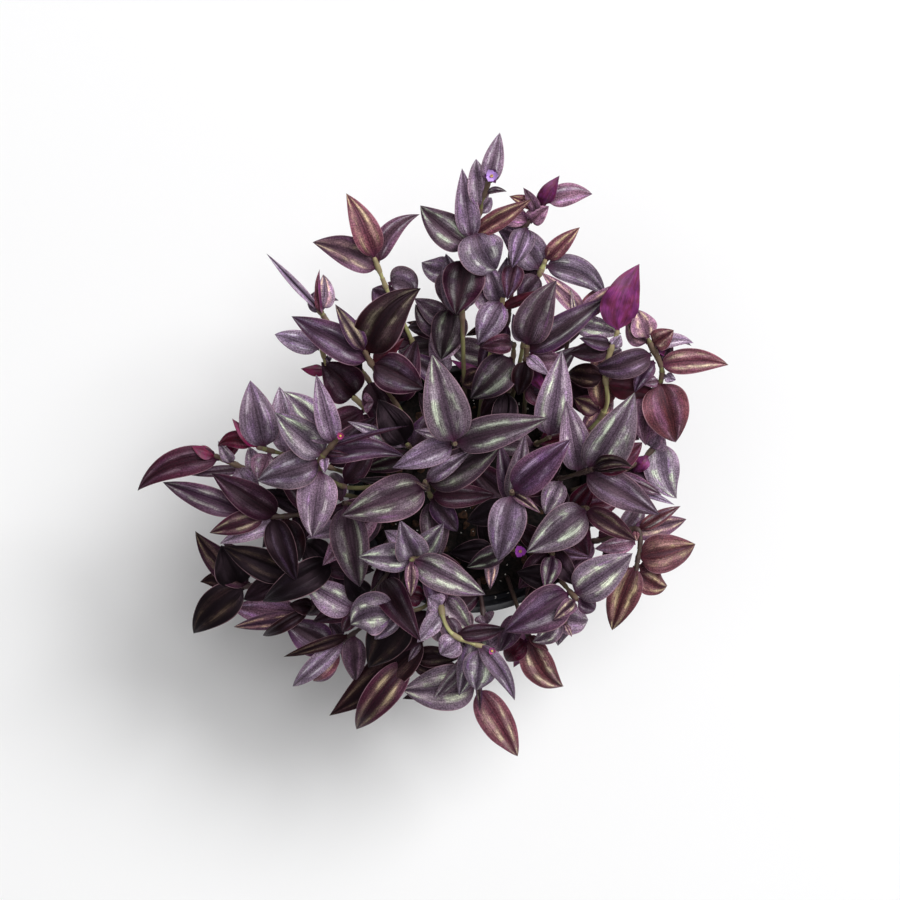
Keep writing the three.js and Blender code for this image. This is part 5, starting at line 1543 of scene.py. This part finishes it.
def leaf_top_material():
    """The upper side: a striped, streaked and speckled ground with a rosy rim, painted violet glints and painted
    sheen.
    """
    shader = Shader("leaf_top")
    math_node, times, step, mix = shader.math, shader.times, shader.step, shader.mix
    place = across, along, seed = shader.place()
    sideways = math_node("ABSOLUTE", across)
    # The halves of a blade have patches of their own
    half = across, along, math_node("MULTIPLY_ADD", math_node("GREATER_THAN", across, 0.0), 7.3, seed)
    broad = shader.pattern(place, 1.6, 2.6, 2)
    streaks = shader.pattern(place, 11.0, 1.6, 4, roughness=0.65, offset=3.0)
    soft_patches = shader.pattern(half, 2.0, 3.4, 2, offset=11.0)
    bright_patches = shader.pattern(half, 1.6, 4.2, 2, offset=29.0)
    glints = shader.pattern(half, 3.6, 3.0, 3, offset=23.0)
    lines = shader.pattern(place, 46.0, 3.0, 2, offset=5.0)
    folds = shader.pattern(place, 3.6, 0.9, 1, offset=17.0)
    grain = shader.noise(shader.position(), 1250.0, 2, 0.7)

    # Stripe
    shifted = math_node("MULTIPLY_ADD", math_node("SUBTRACT", broad, 0.5), 0.26, sideways)
    ragged = math_node("MULTIPLY_ADD", math_node("SUBTRACT", streaks, 0.5), 0.3, shifted)
    distance = math_node("ABSOLUTE", math_node("SUBTRACT", ragged, STRIPE_PLACE))
    soft = times(step(distance, 0.34, 0.0), step(soft_patches, 0.32, 0.62, 0.12, 0.52))
    bright = times(step(distance, 0.15, 0.0), step(bright_patches, 0.44, 0.64, 0.0, 0.75))
    stripe = times(math_node("ADD", soft, bright), step(along, 0.04, 0.3, 0.1, 1.0))
    stripe = times(stripe, step(lines, 0.3, 0.6, 0.55, 1.15))
    stripe = times(stripe, shader.attribute("strength", "Fac"), clamp=True)

    # Ground with painted violet glints, a painted sheen, and the stripe on it
    ground = mix(step(shifted, 0.3, 0.95), shader.attribute("inner"), shader.attribute("outer"))
    band = times(step(sideways, 0.15, 0.4), step(sideways, 0.9, 0.65))
    glint = times(step(glints, 0.55, 0.72, 0.0, 0.8), band, clamp=True)
    ground = mix(glint, ground, shader.tint(ground, PAINTED_GLINT_TINT))
    # The violet patches on the stripe are painted sheen
    violet = shader.tint(shader.attribute("stripe"), STRIPE_PAINTED_SHEEN)
    pale = mix(step(bright_patches, 0.56, 0.42, 0.0, 0.8), shader.attribute("stripe"), violet)
    colour = mix(stripe, ground, pale)

    # Lines, speckle, the dark midrib and the dark base; the midrib's darkening is painted shade in its crease
    tone = times(step(lines, 0.3, 0.7, 0.72, 1.28), step(broad, 0.25, 0.75, 0.66, 1.3))
    speckle = step(grain, 0.32, 0.7, 0.5, 1.7)
    calm = times(stripe, 0.6)
    speckle = math_node("MULTIPLY_ADD", calm, math_node("SUBTRACT", 1.0, speckle), speckle)
    tone = times(tone, speckle)
    # Painted shade in the midrib's crease
    tone = times(tone, step(sideways, 0.0, 0.09, 0.5, 1.0))
    tone = times(tone, step(along, 0.0, 0.24, 0.6, 1.0))
    colour = shader.tint(colour, shader.vector(tone, tone, tone))
    base = times(step(along, 0.17, 0.0, 0.0, 0.75), step(sideways, 1.0, 0.2, 0.3, 1.0))
    colour = mix(base, colour, shader.tint(shader.attribute("under"), BASE_SHADE))
    rim = times(step(sideways, 0.94, 0.99, 0.0, 0.8), step(soft_patches, 0.3, 0.6, 0.35, 1.0))
    colour = mix(rim, colour, shader.attribute("rim"))
    normal = shader.bump(math_node("MULTIPLY_ADD", streaks, 0.3, folds), 0.8, 0.0014)
    shader.set(
        color=colour,
        roughness=step(streaks, 0.2, 0.8, 0.38, 0.55),
        specular=step(shader.attribute("outer", "Fac"), 0.0, 0.07, 0.22, 0.38),
        specular_tint=GLOSS_TINT,
        sheen_weight=0.05,
        sheen_roughness=0.35,
        sheen_tint=(0.8, 0.62, 0.88),
        normal=shader.bump(math_node("MULTIPLY_ADD", grain, 0.8, lines), 0.35, 0.0002, normal),
    )
    return shader.material


def leaf_under_material():
    """The purple underside, between maroon and magenta."""
    shader = Shader("leaf_underside")
    place = shader.place()
    lines = shader.pattern(place, 22.0, 2.0, 2, 1.5, 0.6)
    broad = shader.pattern(place, 1.0, 3.0, 3, 1.7)
    patches = shader.pattern(place, 1.0, 2.2, 3, 2.6)
    tone = shader.times(shader.step(lines, 0.3, 0.7, 0.64, 1.34), shader.step(broad, 0.3, 0.7, 0.55, 1.3))
    maroon = shader.tint(shader.attribute("under"), (0.86, 0.62, 0.7))
    magenta = shader.tint(shader.attribute("under"), (1.12, 0.9, 1.5))
    colour = shader.mix(shader.step(patches, 0.4, 0.6), maroon, magenta)
    shader.set(
        color=shader.tint(colour, shader.vector(tone, tone, tone)),
        roughness=shader.step(broad, 0.2, 0.8, 0.36, 0.55),
        specular=0.45,
        specular_tint=GLOSS_TINT,
        sheen_weight=0.08,
        sheen_roughness=0.4,
        sheen_tint=(0.9, 0.6, 0.8),
        normal=shader.bump(lines, 0.45, 0.0002),
    )
    return shader.material


def stem_material():
    """Green to brown, with pale lines along it, and painted shade that darkens it toward the soil."""
    shader = Shader("stem")
    place = shader.place()
    lines = shader.pattern(place, 9.0, 0.05, 2, 1.5)
    patches = shader.pattern(place, 1.0, 0.05, 3, 1.2)
    colour = shader.mix(shader.step(patches, 0.4, 0.66), shader.attribute("inner"), shader.attribute("outer"))
    colour = shader.mix(shader.step(lines, 0.5, 0.8, 0.0, 0.5), colour, shader.tint(colour, (1.6, 1.6, 1.5)))
    # The dark brown toward the soil is painted shade
    shader.set(
        color=shader.painted_shade_below(colour, (52, 36, 38), 0.85),
        roughness=shader.step(lines, 0.2, 0.8, 0.38, 0.55),
        specular=0.4,
        normal=shader.bump(lines, 0.4, 0.0002),
    )
    return shader.material


def sheath_material():
    """A dry, lined sheath, with painted shade that darkens it toward the soil."""
    shader = Shader("sheath")
    lines = shader.pattern(shader.place(), 14.0, 0.1, 2, 1.5)
    colour = shader.mix(shader.step(lines, 0.3, 0.7), shader.attribute("outer"), shader.attribute("stripe"))
    # The dark brown toward the soil is painted shade
    shader.set(
        color=shader.painted_shade_below(colour, (56, 38, 40), 0.8),
        roughness=shader.step(lines, 0.2, 0.8, 0.5, 0.7),
        normal=shader.bump(lines, 0.5, 0.0002),
    )
    return shader.material


def petal_material(name, roughness):
    """A veined petal or sepal."""
    shader = Shader(name)
    place = shader.place()
    veins = shader.pattern(place, 8.0, 1.5, 2, 1.5)
    colour = shader.mix(shader.step(place[1], 0.1, 0.8), shader.attribute("stripe"), shader.attribute("inner"))
    shader.set(
        color=shader.mix(shader.step(veins, 0.5, 0.75), colour, shader.attribute("outer")),
        roughness=shader.step(veins, 0.2, 0.8, roughness, roughness + 0.15),
        sheen_weight=0.2,
        sheen_roughness=0.4,
        normal=shader.bump(veins, 0.4, 0.00012),
    )
    return shader.material


def speck_material(name):
    """A mottled matt material of SPECKS."""
    dark, light, scale, roughness, bump, distance = SPECKS[name]
    shader = Shader(name)
    position = shader.position()
    mottle = shader.noise(position, scale, 5, 0.65)
    fine = shader.noise(position, scale * 5, 3, 0.6)
    shader.set(
        color=shader.mix(shader.step(mottle, 0.35, 0.68), linear(dark), linear(light)),
        roughness=shader.step(fine, 0.2, 0.8, roughness - 0.08, roughness + 0.08),
        specular=0.25,
        normal=shader.bump(shader.math("ADD", mottle, shader.times(fine, 0.5)), bump, distance),
    )
    return shader.material


def pot_material():
    """Dark blue-grey plastic, dusty and lightly scuffed."""
    shader = Shader("pot_plastic")
    position = shader.position()
    dust = shader.noise(position, 38.0, 5, 0.6)
    grain = shader.noise(position, 1400.0, 2, 0.5)
    scuffs = shader.noise(position, 210.0, 4, 0.7)
    colour = shader.mix(shader.step(dust, 0.42, 0.75), linear((36, 37, 42)), linear((52, 51, 54)))
    shader.set(
        color=shader.mix(shader.step(scuffs, 0.68, 0.8, 0, 0.5), colour, linear((84, 80, 76))),
        roughness=shader.step(dust, 0.3, 0.7, 0.38, 0.56),
        specular=0.45,
        normal=shader.bump(shader.math("ADD", grain, shader.times(scuffs, 0.4)), 0.25, 0.0001),
    )
    return shader.material


def floor_material():
    """Plain pale ground."""
    shader = Shader("floor")
    clouds = shader.noise(shader.position(), 1.2, 2)
    shader.set(color=shader.mix(clouds, (0.90, 0.90, 0.905), (0.92, 0.92, 0.922)), roughness=0.9, specular=0.1)
    return shader.material


# Stage: each lamp's heading and elevation in degrees, its width in metres and its power
LAMPS = {"key": (40, 46, 3.0, 298.0), "top": (45, 74, 3.0, 110.0), "back": (200, 65, 5.0, 45.0)}
LAMP_DISTANCE = 6.0
AMBIENT = 0.16
FLOOR_REACH = 30000.0
FLOOR_LEVEL = -0.4
SENSOR_WIDTH = 36.0
VIEW_REACH = 50.0


def make_stage():
    """The world's light, the floor, the lamps and the camera."""
    scene = bpy.context.scene
    scene.view_settings.view_transform = "Standard"
    world = bpy.data.worlds.new("studio")
    world.use_nodes = True
    background = world.node_tree.nodes["Background"]
    background.inputs["Color"].default_value = (1.0, 1.0, 1.0, 1)
    background.inputs["Strength"].default_value = AMBIENT
    scene.world = world
    corners = [(x * FLOOR_REACH, y * FLOOR_REACH, FLOOR_LEVEL) for x, y in ((-1, -1), (1, -1), (1, 1), (-1, 1))]
    floor = plain_piece("floor", corners, [(0, 1, 2, 3)], floor_material())
    for name, (heading, elevation, width, power) in LAMPS.items():
        lamp = bpy.data.lights.new(name, "AREA")
        lamp.shape = "DISK"
        lamp.size = width
        lamp.energy = power
        light = bpy.data.objects.new(name, lamp)
        turn, rise = math.radians(heading), math.radians(elevation)
        direction = Vector((math.cos(turn) * math.cos(rise), math.sin(turn) * math.cos(rise), math.sin(rise)))
        light.location = direction * LAMP_DISTANCE
        light.rotation_euler = direction.to_track_quat("Z", "Y").to_euler()
        scene.collection.objects.link(light)
    camera_data = bpy.data.cameras.new("camera")
    camera_data.sensor_width = SENSOR_WIDTH
    camera_data.lens = SENSOR_WIDTH * FOCAL_PIXELS / PHOTO_PIXELS
    camera_data.clip_end = VIEW_REACH
    camera = bpy.data.objects.new("camera", camera_data)
    camera.location = Vector(EYE) * MM
    scene.collection.objects.link(camera)
    scene.camera = camera


def main():
    """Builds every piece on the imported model."""
    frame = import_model()
    make_stage()
    chance = np.random.default_rng(SEED)
    leaf_materials = [leaf_top_material(), leaf_under_material(), stem_material(), sheath_material()]
    courses = {name: Course(rows) for name, (rows, _) in SHOOTS.items()}
    for name, leaves in grow_leaves(frame, courses).items():
        leafy_piece(name, courses[name], leaves, chance, leaf_materials)
    flower_materials = [petal_material("petal", 0.45), petal_material("calyx", 0.4), speck_material("stamen"),
                        speck_material("anther")]
    for name, flower in FLOWERS.items():
        flower_piece(name, *flower, flower_materials)
    pot_piece(pot_material())
    soil_piece(speck_material("soil"))
    patches = [tuple(seen(x, y, SOIL_LEVEL)[:2] + chance.uniform(-1, 1, 2)) for x, y in PERLITE_PATCHES * 2]
    crumb_piece("perlite", scatter(PERLITE_COUNT, chance) + patches, *PERLITE, speck_material("perlite"), chance)
    crumb_piece("bark", scatter(BARK_COUNT, chance), *BARK, speck_material("bark"), chance)


main()
